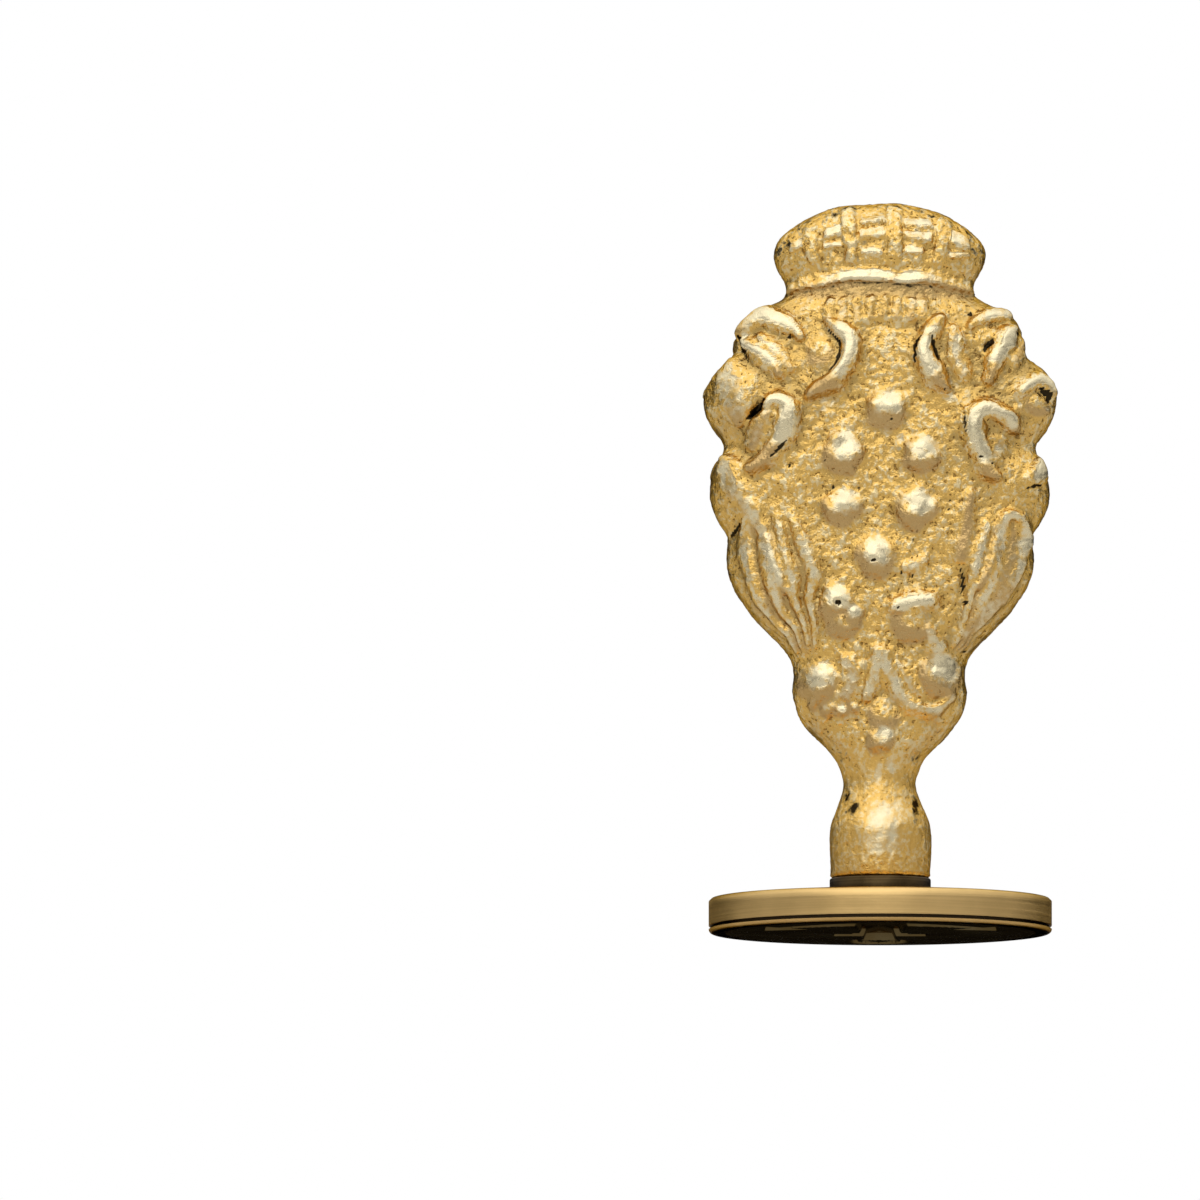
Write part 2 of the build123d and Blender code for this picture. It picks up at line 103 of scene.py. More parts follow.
# Bands of the relief: height, steep edge, then points of offset, rise, half-width and shine.
# The steep edge is 1 for the left of the way along the line, -1 for the right and 0 for neither.
# Shine is 1 where a band is worn bright and painted with a cream highlight; where it is low, the band's top
# is painted with shade.
LEFT_SCROLLS = (
    (0.5, 0, (
        (-7.75, 31.7, 0.3, 0.2), (-7.45, 32.3, 0.4, 0.5), (-6.8, 32.72, 0.42, 1), (-6.1, 32.5, 0.42, 1),
        (-5.45, 32.25, 0.4, 1), (-4.85, 31.75, 0.28, 0.9), (-4.6, 31.4, 0.15, 0.4),
    )),
    (0.5, 0, (
        (-7.55, 31.1, 0.22, 0.7), (-7.2, 30.75, 0.42, 1), (-6.75, 30.3, 0.46, 1), (-6.2, 29.8, 0.4, 0.9),
        (-5.95, 29.3, 0.25, 0.1),
    )),
    (0.34, 0, (
        (-6.7, 31.4, 0.2, 0.5), (-6.2, 30.9, 0.34, 0.7), (-5.65, 30.25, 0.32, 0.6),
        (-5.3, 29.6, 0.18, 0.2),
    )),
    (0.62, -1, (
        (-3.0, 32.3, 0.22, 0.6), (-2.45, 31.95, 0.42, 1), (-1.9, 31.5, 0.52, 1), (-1.68, 30.9, 0.54, 1),
        (-1.85, 30.1, 0.54, 1), (-2.3, 29.4, 0.5, 0.9), (-2.9, 28.85, 0.48, 0.1), (-3.5, 28.4, 0.42, 0),
        (-4.05, 28.0, 0.22, 0),
    )),
    (0.4, 0, (
        (-8.6, 29.7, 0.4, 0.5), (-8.5, 28.8, 0.85, 0.7), (-8.4, 27.8, 0.8, 0.6), (-8.1, 26.8, 0.4, 0.3),
    )),
    (0.6, 0, (
        (-6.6, 27.5, 0.2, 0.8), (-6.3, 27.75, 0.3, 1), (-5.7, 27.72, 0.44, 1), (-5.32, 27.2, 0.52, 1),
        (-5.4, 26.4, 0.52, 1), (-5.72, 25.6, 0.5, 1), (-6.1, 25.0, 0.48, 0.2), (-6.75, 24.3, 0.44, 0),
        (-7.5, 23.6, 0.24, 0),
    )),
    (0.4, 0, ((-7.35, 25.0, 0.3, 0.2), (-6.95, 26.0, 0.5, 0.3), (-6.5, 26.9, 0.34, 0.3))),
    (0.34, 0, ((-8.9, 24.3, 0.35, 0.5), (-8.7, 23.5, 0.6, 0.7), (-8.3, 22.5, 0.5, 0.45))),
    (0.3, 0, ((-7.9, 21.9, 0.3, 0.4), (-7.4, 21.2, 0.5, 0.65), (-6.9, 20.3, 0.35, 0.5))),
)
RIGHT_SCROLLS = (
    (0.42, 0, (
        (5.3, 32.0, 0.18, 0.4), (5.75, 32.35, 0.28, 0.8), (6.55, 32.8, 0.34, 0.9),
        (7.35, 32.85, 0.32, 0.8),
    )),
    (0.58, 0, (
        (7.55, 31.75, 0.3, 0.7), (7.35, 31.45, 0.46, 1), (6.95, 30.8, 0.5, 1), (6.6, 30.05, 0.46, 0.95),
        (6.45, 29.4, 0.32, 0.1), (6.2, 28.8, 0.2, 0),
    )),
    (0.36, 0, ((8.45, 31.7, 0.2, 0.2), (8.2, 30.8, 0.4, 0.15), (7.8, 30.1, 0.3, 0.15))),
    (0.58, 0, (
        (3.55, 32.5, 0.25, 0.5), (3.1, 31.8, 0.36, 0.7), (2.6, 31.0, 0.48, 1), (2.68, 30.2, 0.5, 1),
        (3.0, 29.5, 0.48, 1), (3.3, 28.95, 0.42, 0.1), (3.75, 28.3, 0.24, 0),
    )),
    (0.36, 0, (
        (4.2, 31.9, 0.3, 0.5), (4.36, 31.2, 0.45, 0.65), (4.45, 30.2, 0.45, 0.65), (4.9, 29.3, 0.4, 0.5),
    )),
    (0.46, 0, (
        (8.1, 28.1, 0.2, 0.6), (8.45, 28.6, 0.3, 1), (9.0, 28.95, 0.32, 1), (9.5, 28.8, 0.32, 0.9),
        (9.75, 28.3, 0.24, 0.4),
    )),
    (0.6, 0, (
        (6.6, 23.2, 0.25, 0), (6.1, 23.7, 0.44, 0.05), (5.95, 24.3, 0.48, 0.8), (5.62, 25.15, 0.52, 1),
        (5.35, 26.05, 0.52, 1), (5.55, 26.85, 0.48, 1), (6.2, 27.2, 0.44, 1), (6.95, 26.95, 0.42, 1),
        (7.45, 26.5, 0.44, 1), (7.75, 26.1, 0.2, 0.4),
    )),
    (0.3, 0, ((6.6, 24.6, 0.4, 0.6), (6.9, 25.3, 0.4, 0.5))),
    (0.36, 0, (
        (9.45, 24.9, 0.2, 0.7), (9.35, 24.3, 0.3, 0.8), (9.25, 23.6, 0.5, 1), (8.8, 23.1, 0.45, 0.7),
    )),
)
LEFT_REEDS = (
    (0.44, 0, (
        (-6.6, 19.7, 0.2, 0.6), (-6.3, 18.7, 0.3, 0.9), (-5.95, 17.8, 0.28, 0.8), (-5.5, 16.7, 0.2, 0.5),
    )),
)
RIGHT_REEDS = (
    (0.48, 0, (
        (5.7, 16.9, 0.16, 0.1), (6.2, 18.1, 0.22, 0.3), (6.6, 19.4, 0.24, 0.75), (6.88, 20.4, 0.25, 0.95),
        (7.25, 21.05, 0.22, 0.9), (7.75, 21.12, 0.22, 0.8), (8.2, 20.75, 0.24, 0.9),
        (8.36, 19.9, 0.26, 0.95), (8.1, 18.5, 0.26, 0.75), (7.6, 17.3, 0.22, 0.5), (6.9, 16.2, 0.14, 0.3),
    )),
    (0.3, 0, (
        (7.55, 20.3, 0.2, 0.1), (7.5, 18.6, 0.34, 0.2), (6.85, 16.8, 0.36, 0.4), (6.3, 15.8, 0.34, 0.5),
        (5.5, 14.9, 0.3, 0.5), (4.7, 14.2, 0.18, 0.5),
    )),
    (0.28, 0, ((5.2, 22.2, 0.25, 0), (5.0, 20.4, 0.5, 0), (4.75, 18.6, 0.4, 0))),
)
# Reeds side by side: edges as rise and offset, how many, lowest and highest rise, height, shine.
LEFT_FLUTES = (
    (
        (12.4, -4.4), (13.8, -5.3), (15.0, -6.4), (16.2, -7.35), (17.4, -8.0), (19.0, -8.4), (21.6, -8.2),
    ),
    (
        (12.4, -3.9), (14.0, -3.5), (15.2, -3.5), (16.4, -3.6), (17.4, -3.3), (18.6, -3.55), (20.0, -4.2),
        (21.6, -5.0),
    ),
    4, 13.3, 20.9, 0.4, 0.7,
)
RIGHT_FLUTES = (
    (
        (12.6, 4.2), (14.0, 5.3), (15.2, 6.4), (16.4, 7.2), (17.6, 7.95), (18.8, 8.35), (21.6, 8.6),
    ),
    (
        (12.6, 3.8), (14.0, 4.2), (15.4, 4.6), (16.6, 4.85), (18.0, 4.95), (19.5, 5.4), (21.6, 6.0),
    ),
    3, 13.4, 20.9, 0.38, 0.65,
)
LOWER_LEAVES = (
    (0.44, 0, (
        (0.85, 15.75, 0.42, 0.9), (1.5, 15.82, 0.52, 1), (2.2, 15.95, 0.52, 1), (2.9, 16.05, 0.46, 0.9),
    )),
    (0.26, 0, ((1.35, 17.8, 0.2, 0.5), (1.95, 17.98, 0.26, 0.8), (2.5, 18.35, 0.18, 0.6))),
    (0.34, 0, (
        (0.0, 12.7, 0.5, 0.6), (-0.3, 12.0, 0.44, 0.7), (-0.55, 11.2, 0.36, 0.7),
        (-0.85, 10.4, 0.2, 0.45),
    )),
    (0.34, 0, (
        (0.1, 12.6, 0.5, 0.6), (0.6, 11.5, 0.4, 0.7), (1.15, 10.6, 0.34, 0.7), (1.85, 9.85, 0.3, 0.6),
        (2.7, 9.6, 0.28, 0.6), (3.5, 9.95, 0.26, 0.65), (4.05, 10.7, 0.18, 0.6),
    )),
    (0.22, 0, ((1.0, 12.3, 0.2, 0.6), (1.6, 11.4, 0.26, 0.5), (2.1, 10.6, 0.18, 0.4))),
    (0.32, 0, ((2.8, 14.3, 0.3, 0.5), (3.3, 13.3, 0.5, 0.75), (3.5, 12.6, 0.5, 0.7))),
    (0.26, 0, ((-2.0, 12.6, 0.3, 0.5), (-1.6, 11.6, 0.5, 0.45), (-2.1, 10.5, 0.4, 0.4))),
)
# Rounded lumps: offset, rise, radius, height, shine.
ROUNDELS = (
    (0.3, 27.2, 1.3, 0.5, 0.95), (-2.2, 24.65, 1.3, 0.5, 0.95), (2.45, 24.55, 1.3, 0.5, 0.95),
    (-2.35, 21.4, 1.3, 0.48, 0.9), (2.08, 21.35, 1.3, 0.48, 0.9), (-0.3, 18.6, 1.3, 0.48, 0.9),
)
BOSSES = (
    (-3.5, 11.35, 1.35, 0.34, 0.9), (3.45, 11.75, 1.4, 0.36, 0.95), (-2.1, 14.85, 1.2, 0.3, 0.0),
    (1.8, 14.8, 1.3, 0.3, 0.0), (0.15, 9.5, 1.2, 0.22, 0.4), (-3.6, 30.6, 0.95, 0.2, 0.4),
    (-2.55, 15.95, 1.1, 0.42, 1.0), (-1.6, 15.25, 0.7, 0.38, 0.9), (0.1, 7.95, 0.95, 0.28, 0.85),
    (-3.0, 9.75, 0.5, 0.2, 0.5), (-1.65, 9.9, 0.45, 0.2, 0.5), (-3.9, 10.1, 0.4, 0.16, 0.4),
    (9.0, 27.6, 0.7, 0.22, 0.1), (7.98, 27.3, 0.32, 0.26, 0.9), (9.5, 27.3, 0.3, 0.24, 0.8),
    (-2.35, 9.5, 0.45, 0.2, 0.7), (-7.5, 31.4, 0.25, 0.24, 0.9),
)
# Sunk lines, painted black as shadow with patina: depth, then points of offset, rise, half-width and
# darkness. Pits, black as well: offset, rise, radius, depth.
SUNK_LINES = (
    (0.22, ((-5.5, 25.35, 0.08, 0.9), (-5.85, 24.9, 0.13, 1), (-6.3, 24.45, 0.08, 0.9))),
    (0.18, ((5.0, 26.9, 0.08, 0.5), (4.86, 26.2, 0.1, 0.6), (5.0, 25.4, 0.08, 0.5))),
    (0.24, (
        (2.25, 31.4, 0.08, 0.8), (2.03, 30.9, 0.13, 1), (2.1, 30.2, 0.09, 0.7), (2.3, 29.6, 0.06, 0.5),
    )),
    (0.24, ((3.0, 31.4, 0.08, 0.9), (3.17, 30.8, 0.12, 1), (3.38, 30.1, 0.09, 0.7))),
    (0.42, ((-7.55, 26.75, 0.14, 1), (-7.15, 27.2, 0.24, 1), (-6.75, 27.75, 0.12, 1))),
    (0.26, ((4.6, 18.1, 0.06, 1), (4.85, 17.3, 0.1, 1), (4.68, 16.35, 0.06, 1))),
    (0.32, ((-7.85, 31.5, 0.14, 1), (-7.78, 30.9, 0.18, 1), (-7.6, 30.1, 0.1, 1))),
    (0.3, ((6.45, 31.25, 0.08, 1), (6.2, 30.95, 0.13, 1), (5.95, 30.6, 0.08, 1))),
    (0.26, ((9.25, 28.5, 0.1, 1), (9.55, 28.2, 0.15, 1), (9.65, 27.75, 0.08, 1))),
    (0.24, ((8.3, 22.55, 0.08, 0.8), (8.8, 22.66, 0.11, 0.9), (9.35, 22.75, 0.08, 0.8))),
    (0.24, ((8.05, 32.15, 0.1, 1), (7.95, 31.8, 0.12, 1), (7.8, 31.5, 0.08, 1))),
    (0.24, ((-8.15, 20.7, 0.1, 0.9), (-8.35, 20.3, 0.14, 1), (-8.7, 19.9, 0.1, 1))),
)
PITS = (
    (-2.38, 15.95, 0.19, 0.5), (5.29, 32.8, 0.15, 0.3), (4.88, 15.93, 0.13, 0.3), (0.95, 15.6, 0.08, 0.2),
    (-5.2, 31.45, 0.14, 0.25), (-5.3, 23.95, 0.13, 0.25), (3.72, 28.2, 0.12, 0.25),
    (5.65, 24.4, 0.1, 0.2), (6.3, 24.1, 0.1, 0.2), (-0.35, 18.35, 0.12, 0.2), (-3.15, 24.1, 0.1, 0.2),
    (-2.75, 22.75, 0.11, 0.22), (0.55, 26.6, 0.1, 0.2), (4.0, 21.9, 0.13, 0.25), (3.95, 21.3, 0.12, 0.22),
    (-1.35, 22.6, 0.08, 0.18), (1.95, 19.6, 0.1, 0.2), (1.15, 17.6, 0.1, 0.2), (1.85, 17.45, 0.1, 0.2),
    (4.85, 13.1, 0.12, 0.22),
)

# Broad swellings under the relief: offset, rise, half-width, half-height, height.
SWELLS = (
    (6.4, 31.0, 1.5, 1.4, 0.3), (8.2, 28.1, 1.5, 1.7, 0.3), (6.0, 26.0, 1.7, 2.2, 0.22),
    (8.0, 23.2, 1.7, 1.6, 0.28), (2.6, 30.4, 1.5, 1.8, 0.16), (6.4, 17.6, 1.8, 2.8, 0.24),
    (3.4, 11.4, 1.5, 1.7, 0.26), (0.0, 23.0, 3.4, 4.6, -0.18), (2.0, 15.3, 1.3, 1.2, 0.14),
)
# Patches worn bright and painted with a highlight, and patches of black specks: offset, rise, half-width,
# half-height, strength.
SHINE_PATCHES = (
    (0.1, 3.4, 1.3, 1.2, 0.8), (0.3, 2.0, 1.6, 1.1, 0.7), (-0.15, 6.0, 0.3, 1.1, 0.7),
    (0.5, 6.4, 0.5, 0.6, 0.6), (-7.7, 21.9, 0.5, 0.6, 0.5), (-3.2, 27.6, 1.2, 1.0, 0.4),
    (1.0, 25.6, 1.6, 0.9, 0.4), (3.9, 28.2, 1.0, 1.6, 0.4),
)
STAIN_PATCHES = (
    (-1.62, 3.9, 0.5, 0.42, 1.4), (2.1, 4.3, 0.3, 1.3, 1.4), (-2.1, 4.8, 0.35, 0.9, 1.2),
    (2.3, 6.9, 0.5, 0.5, 1.0), (-2.3, 7.0, 0.5, 0.5, 1.0), (0.0, 0.1, 2.8, 0.3, 0.9),
)
STAIN_PATCH_SHARE = 0.6

# A pair of numbers in the next groups is a ramp: where a form or tone starts, and where it is full.
# Section of a band, in half-widths.
STEEP_POWER = 5.0
STEEP_TOP = (1.02, 0.86)
GENTLE_TOP = (1.0, 0.5)
FLANK = (1.9, 0.40)
BAND_REACH = 2.6
BAND_NARROWEST = 0.22
LINE_NARROWEST = 0.02
LINE_PLACE = 1.16
LINE_HALF_WIDTH = 0.17
LINE_DEPTH = 0.16
# Section of a lump, in radii, with a painted highlight that lies sideways and upwards of its middle, and
# painted shade under it.
LUMP_POWER = 0.9
LUMP_FULLEST = 1.1
LUMP_SHADE = (1.1, 0.55)
CAP_SIDEWAYS = 0.12
CAP_UPWARDS = 0.30
HIGHLIGHT_CAP = (0.95, 0.25)
SUNK_EDGE = (0.0, 0.5)
# Section of a leaning shelf, from 0 at its top edge to 1 at its foot, with a fine painted shadow line under
# it.
SHELF_EDGE = 0.80
SHELF_POWER = 0.7
SHELF_TOP = (0.05, 0.25)
SHELF_LINE_PLACE = 1.08
SHELF_LINE_HALF = 0.12
SHELF_SHADOW_LINE = 0.34
# Reeds side by side, from 0 at the outer edge of the group to 1 at its inner edge,
# and their wave from groove to ridge.
FLUTE_OUTER = (-0.03, 0.05)
FLUTE_INNER = (1.03, 0.95)
FLUTE_FOOT = 0.5
FLUTE_HEAD = 0.7
# Ridges carry a painted highlight, and grooves carry painted shade.
FLUTE_RIDGE = (0.45, 0.95)
FLUTE_GROOVE = (0.40, 0.05)
FLUTE_SHADE = 0.8

# Crown: ribs that fan out, as offset and half-width.
CROWN_RIBS = ((-3.85, 0.42), (-1.75, 0.42), (0.75, 0.5), (3.45, 0.4))
CROWN_HALF_WIDTH = 6.15
RIB_LOW = 35.9
RIB_HIGH = 38.75
RIB_FADE = 0.3
RIB_SPREAD = 0.09
RIB_HEIGHT = 0.20
RIB_POWER = 3
RIB_SIDE = (0.75, 1.1)
RIB_REACH = (0.95, 0.84)
# Chips between the ribs, with a painted highlight on their upper faces: offset, rise, half-width,
# half-height, lean.
CROWN_CHIPS = (
    (-2.75, 37.7, 0.55, 0.46, 0.25), (-2.75, 36.85, 0.5, 0.26, 0.1), (-4.75, 36.9, 0.45, 0.4, 0.3),
    (-0.45, 38.35, 0.75, 0.24, 0.14), (-0.5, 37.6, 0.8, 0.4, 0.04), (-0.45, 36.6, 0.65, 0.28, -0.05),
    (2.25, 38.15, 0.8, 0.36, -0.16), (2.2, 37.4, 0.8, 0.34, -0.08), (1.95, 36.65, 0.6, 0.3, 0.05),
    (4.55, 37.2, 0.65, 0.56, -0.45), (4.5, 36.35, 0.65, 0.24, -0.06),
)
CHIP_HEIGHT = 0.26
CHIP_SHINE = 0.72
CHIP_SIDE = (1.1, 0.8)
CHIP_REACH = (0.96, 0.86)
# The dark edge along the dome: painted shade along the crown's outline.
RIM_REACH = (0.74, 0.86)
RIM_RISE = (35.7, 36.5)
RIM_EDGE_SHADE = 0.40
# The raised band at the crown's foot, with a painted highlight and a painted shadow line under it.
HEADBAND_RISE = 35.12
HEADBAND_SAG = 0.024
HEADBAND_HALF_WIDTH = 0.46
HEADBAND_HEIGHT = 0.34
HEADBAND_SHINE = 0.8
# The band's painted highlight fades towards its ends.
HEADBAND_BRIGHT = (5.6, 1.5)
HEADBAND_LINE_DROP = 0.50
HEADBAND_LINE_HALF = 0.10
HEADBAND_LINE_REACH = (4.2, 3.0)
HEADBAND_SHADOW_LINE = 0.6
# The plain sunk strip under the band, painted with shade, and the teeth under it. Their shine, wear with
# painted highlight, is given at the top and the foot.
STRIP_FOOT = (33.55, 33.9)
STRIP_TOP = (0.05, -0.15)
STRIP_DEPTH = 0.22
STRIP_SHADE = 0.8
TEETH = (-2.87, -2.2, -1.4, -0.55, 0.2, 1.0, 1.8, 2.55)
TOOTH_TOP = 33.5
TOOTH_FOOT = 32.7
TOOTH_HALF_WIDTH = 0.33
TOOTH_TAPER = 0.8
TOOTH_HEIGHT = 0.24
TOOTH_SHINE = (0.45, 0.35)

# Seeded waves: shortest and longest wavelength, height, seed.
# The relief's lines wander sideways and upwards, its lumps ripple,
# and the cast skin is grain over pebbles over a slow wobble.
WANDER_SIDEWAYS = (1.3, 3.4, 0.055, 21)
WANDER_UPWARDS = (1.3, 3.4, 0.055, 22)
LUMP_RIPPLE = (0.7, 1.8, 0.12, 23)
GRAIN = (0.28, 0.6, 0.022, 11)
PEBBLE = (0.8, 1.8, 0.018, 12)
WOBBLE = (2.2, 5.5, 0.035, 13)
WAVES = 90
# The share of the skin taken off forms with shine or painted shade, the shares left on the casting's edge
# and on its neck, and the rise over which it starts.
RUBBED_CALM = 0.72
EDGE_SKIN = 0.5
NECK_SKIN = 0.6
SKIN_FOOT = (0.0, 0.6)
# How far the surface looks frontwards or backwards where the relief starts and is full, and where the dark
# edge, patina with painted shade along the outline, starts and is full. Then the rises over which the crest,
# the sharper scrolls and the sharp crown begin.
FACING = (0.12, 0.60)
EDGE_PATINA_AND_SHADE = (0.66, 0.0)
NECK_EDGE_PATINA_AND_SHADE = 0.35
CREST = (6.6, 7.6)
SCROLLS = (21.0, 22.0)
CROWN = (33.2, 33.8)
SCROLL_SHARPNESS = 0.3
FORM_CELLS = 0.7
# Hollows: how far a point lies below its neighbours, which paints shade with patina there.
HOLLOW_CELLS = 5
HOLLOW_DEPTH = 0.22
# Downward-facing surfaces, painted with shade.
UNDERSIDE_SHADE = (0.1, -0.55)
UNDERSIDE_SHADE_CELLS = 2

# Die: the anchor is cut into its lower face, with its ring towards +Y.
DIE_RADIUS = 10.0
DIE_HEIGHT = 2.0
DIE_RIM = 0.22
RIM_STEPS = 8
# Groove round the foot of its wall, as rise and depth, more rises of the wall, and how deep under the wall
# its finish starts and is full.
DIE_GROOVE = ((0.23, 0.02), (0.26, 0.14), (0.40, 0.14), (0.43, 0.0))
WALL_RISES = (0.9, 1.4)
WALL_TONE = (0.12, 0.01)
DIE_BACK_BEVEL = 0.15
BACK_RADIUS = 6.0
SEAT_RADIUS = 1.52
SEAT_BEVEL = 0.1
SEAT_FLOOR = 1.05
FACE_CELLS = 256
# The anchor. Ring: offset, place, radius, half-width. Shank and arm: offset, place, half-width.
# Stock: ends and half-width. Bulge: offset, place, half-width, half-height. Fluke and point: corners.
ANCHOR_RING = (0.0, 6.95, 1.62, 0.43)
ANCHOR_EYE_RADIUS = 1.15
ANCHOR_EYE_SINK = 0.16
ANCHOR_SHANK = ((0.0, 5.2, 0.95), (0.0, 2.6, 0.97), (0.0, 1.2, 1.15), (0.0, -2.0, 1.34), (0.0, -6.2, 1.6))
ANCHOR_STOCK = ((-2.72, 1.62), (2.72, 1.62), 0.86)
ANCHOR_BULGE = (0.0, 1.15, 1.65, 1.15)
ANCHOR_ARM = ((0.0, -6.85, 1.3), (2.0, -6.45, 1.0), (4.0, -5.35, 0.72), (5.75, -3.9, 0.5))
ANCHOR_FLUKE = ((6.8, -1.95), (4.15, -2.85), (6.8, -5.2))
ANCHOR_POINT = ((-1.5, -7.2), (0.0, -8.95), (1.5, -7.2))
FAR = 99.0
CUT_WALL = 0.26
CUT_WALL_DEPTH = 0.40
CUT_FLOOR_RUN = 1.25
CUT_FLOOR_DEPTH = 0.20

# Collar and stud.
COLLAR_RADIUS = 2.95
COLLAR_BORE = 1.55
COLLAR_BEVEL = 0.12
COLLAR_ROUND = 0.3
COLLAR_COLUMNS = 180
STUD_RADIUS = 1.5
THREAD_DEPTH = 0.30
THREAD_PITCH = 0.5
THREAD_FLANK = (0.12, 0.92)
STUD_TIP_BEVEL = 0.3
STUD_COLUMNS = 96
STUD_ROWS_PER_TURN = 14

# Steps of smooth lines, and the reach of an averaging bell in its own widths.
CURVE_STEPS = 7
TABLE_STEPS = 12
BELL_REACH = 3

# Camera: the stamp fills the same part of the frame as in the photograph.
FRAME_WIDTH = 70.0
FRAME_CENTRE = (-16.33, 0.0, 19.49)
CAMERA_ELEVATION = -4.9
CAMERA_DISTANCE = 1500.0
CAMERA_SENSOR = 36.0
CAMERA_NEAREST = 0.01
CAMERA_FARTHEST = 20

# The studio, in metres: floor, ring of cards, lamps and world.
FLOOR_RADIUS = 3.0
FLOOR_HOLE = 0.0090
FLOOR_DROP = 0.00002
FLOOR_COLUMNS = 128
FLOOR_FADE = (0.10, 0.9)
FLOOR_COLOUR = (0.90, 0.90, 0.89, 1)
FLOOR_MIRRORED = (0.74, 0.725, 0.70, 1)
CARD_RADIUS = 1.6
CARD_LOW = -0.8
CARD_HIGH = 1.1
CARD_COLUMNS = 96
# Levels of the cards: round the table, high up, the share taken away behind the stamp, and the share left
# under the table. Then the heights and places over which these change.
CARD_DARK = 0.22
CARD_BRIGHT = 0.72
CARD_BLACK = 0.95
CARD_UNDER = 0.45
CARD_RISING = (0.12, 0.75)
CARD_BEHIND = (0.30, 0.85)
CARD_BLACK_TOP = (0.6, 0.25)
CARD_TABLE = (-0.06, 0.0)
WORLD_LIGHT = 0.80
WHITE = (1, 1, 1, 1)
# Soft lamps: name, place, width, depth, power.
LAMPS = (
    ("overhead", (-0.08, -0.30, 0.75), 1.20, 0.90, 1.0),
    ("front_left", (-0.20, -1.15, 0.55), 1.30, 0.80, 2.15),
)
LAMP_TARGET = (0, 0, 0.022)

# Finishes: colours, noises as cells to the metre and detail, turned lines as cells to the metre on each axis,
# ramps of the tones, and the bump as depth in metres and strength.
NOISE_ROUGHNESS = 0.55
CAST_GOLD = (0.82, 0.515, 0.14, 1)
CAST_PALE = (0.90, 0.735, 0.41, 1)
# Cream: wear, and a painted highlight on forms that face the light.
CAST_CREAM_HIGHLIGHT = (0.87, 0.755, 0.49, 1)
# Painted shade on undersides, in grooves and on the tails of bands.
CAST_SHADE_BROWN = (0.60, 0.40, 0.165, 1)
# Patina with painted shade in hollows.
CAST_HOLLOW_SHADE = (0.52, 0.35, 0.12, 1)
CAST_PIT = (0.20, 0.11, 0.03, 1)
# Dark patina along the edge, also painted shade along the outline.
CAST_PATINA_AND_EDGE_SHADE = (0.27, 0.185, 0.082, 1)
# Black lines and pits: staining with painted shadow.
CAST_BLACK_STAIN_AND_SHADOW = (0.035, 0.025, 0.012, 1)
CAST_EDGE_TINT = (0.40, 0.30, 0.17, 1)
# Fine grain, grain and patches.
CAST_NOISES = ((4400, 2), (2050, 3), (720, 3))
CAST_RUB_AND_HIGHLIGHT = (0.24, 0.86)
CAST_BRIGHT = (0.48, 0.59)
CAST_DARK = (0.40, 0.34)
# Ramps of the painted shade in hollows and on undersides, of the dark edge, and of the black lines.
CAST_SUNK = (0.15, 1.0)
CAST_SHADE_RAMP = (0.22, 0.85)
CAST_RIM = (0.15, 1.05)
CAST_RIM_FADE = (0.0, 0.5)
CAST_LINES = (0.1, 0.55)
CAST_LINE_FADE = (0.05, 0.25)
CAST_BUMP = (0.00014, 0.95)
DIE_GOLD = (0.88, 0.66, 0.31, 1)
DIE_SHADE = (0.68, 0.44, 0.15, 1)
DIE_WALL = (0.87, 0.60, 0.25, 1)
DIE_WALL_SHADE = (0.66, 0.44, 0.17, 1)
DIE_CUT = (0.52, 0.33, 0.11, 1)
# Near black in the groove round the wall's foot: painted shade.
DIE_GROOVE_SHADE = (0.045, 0.03, 0.015, 1)
DIE_EDGE_TINT = (0.20, 0.15, 0.08, 1)
# Haze, grain and specks.
DIE_NOISES = ((260, 4), (3800, 2), (1500, 1))
DIE_LINES = (60, 60, 9000)
DIE_PITS = (0.70, 0.76)
DIE_HAZE = (0.35, 0.7)
DIE_STREAKS = (0.3, 0.8)
DIE_BUMP = (0.00003, 0.6)
# The collar's near-black brass also paints the shade between the casting and the die.
COLLAR_DARK = (0.055, 0.035, 0.015, 1)
COLLAR_LIGHT = (0.13, 0.088, 0.04, 1)
COLLAR_NOISE = (700, 3)
COLLAR_LINES = (80, 80, 8000)
COLLAR_STREAKS = (0.35, 0.75)
COLLAR_BUMP = (0.00003, 0.5)
STEEL_DARK = (0.36, 0.35, 0.34, 1)
STEEL_LIGHT = (0.62, 0.62, 0.61, 1)
STEEL_NOISE = (900, 3)
STEEL_LINES = (150, 150, 9000)
STEEL_HAZE = (0.3, 0.7)
STEEL_BUMP = (0.00002, 0.4)


def smooth_step(low, high, value):
    """0 below low, 1 above high, and 3 t squared minus 2 t cubed between them."""
    t = np.clip((value - low) / (high - low), 0, 1)
    return t * t * (3 - 2 * t)


def bell(value):
    """1 in the middle, falling off as e to the minus value squared."""
    return np.exp(-value ** 2)


def curve_through(knots, steps=CURVE_STEPS):
    """A smooth line through given points: on each span, the Catmull-Rom cubic of the four points
    nearest to it."""
    knots = np.asarray(knots, float)
    before = np.vstack([2 * knots[:1] - knots[1:2], knots[:-2]])[:, None]
    start = knots[:-1, None]
    end = knots[1:, None]
    after = np.vstack([knots[2:], 2 * knots[-1:] - knots[-2:-1]])[:, None]
    t = np.linspace(0, 1, steps, endpoint=False)[None, :, None]
    square = 2 * before - 5 * start + 4 * end - after
    cube = 3 * start - before - 3 * end + after
    spans = start + 0.5 * t * (end - before + t * (square + t * cube))
    return np.vstack([spans.reshape(-1, knots.shape[1]), knots[-1:]])


def smooth_table(knots, at):
    """A value read off the smooth line through (place, value) points."""
    line = curve_through(knots, TABLE_STEPS)
    return np.interp(at, line[:, 0], line[:, 1])


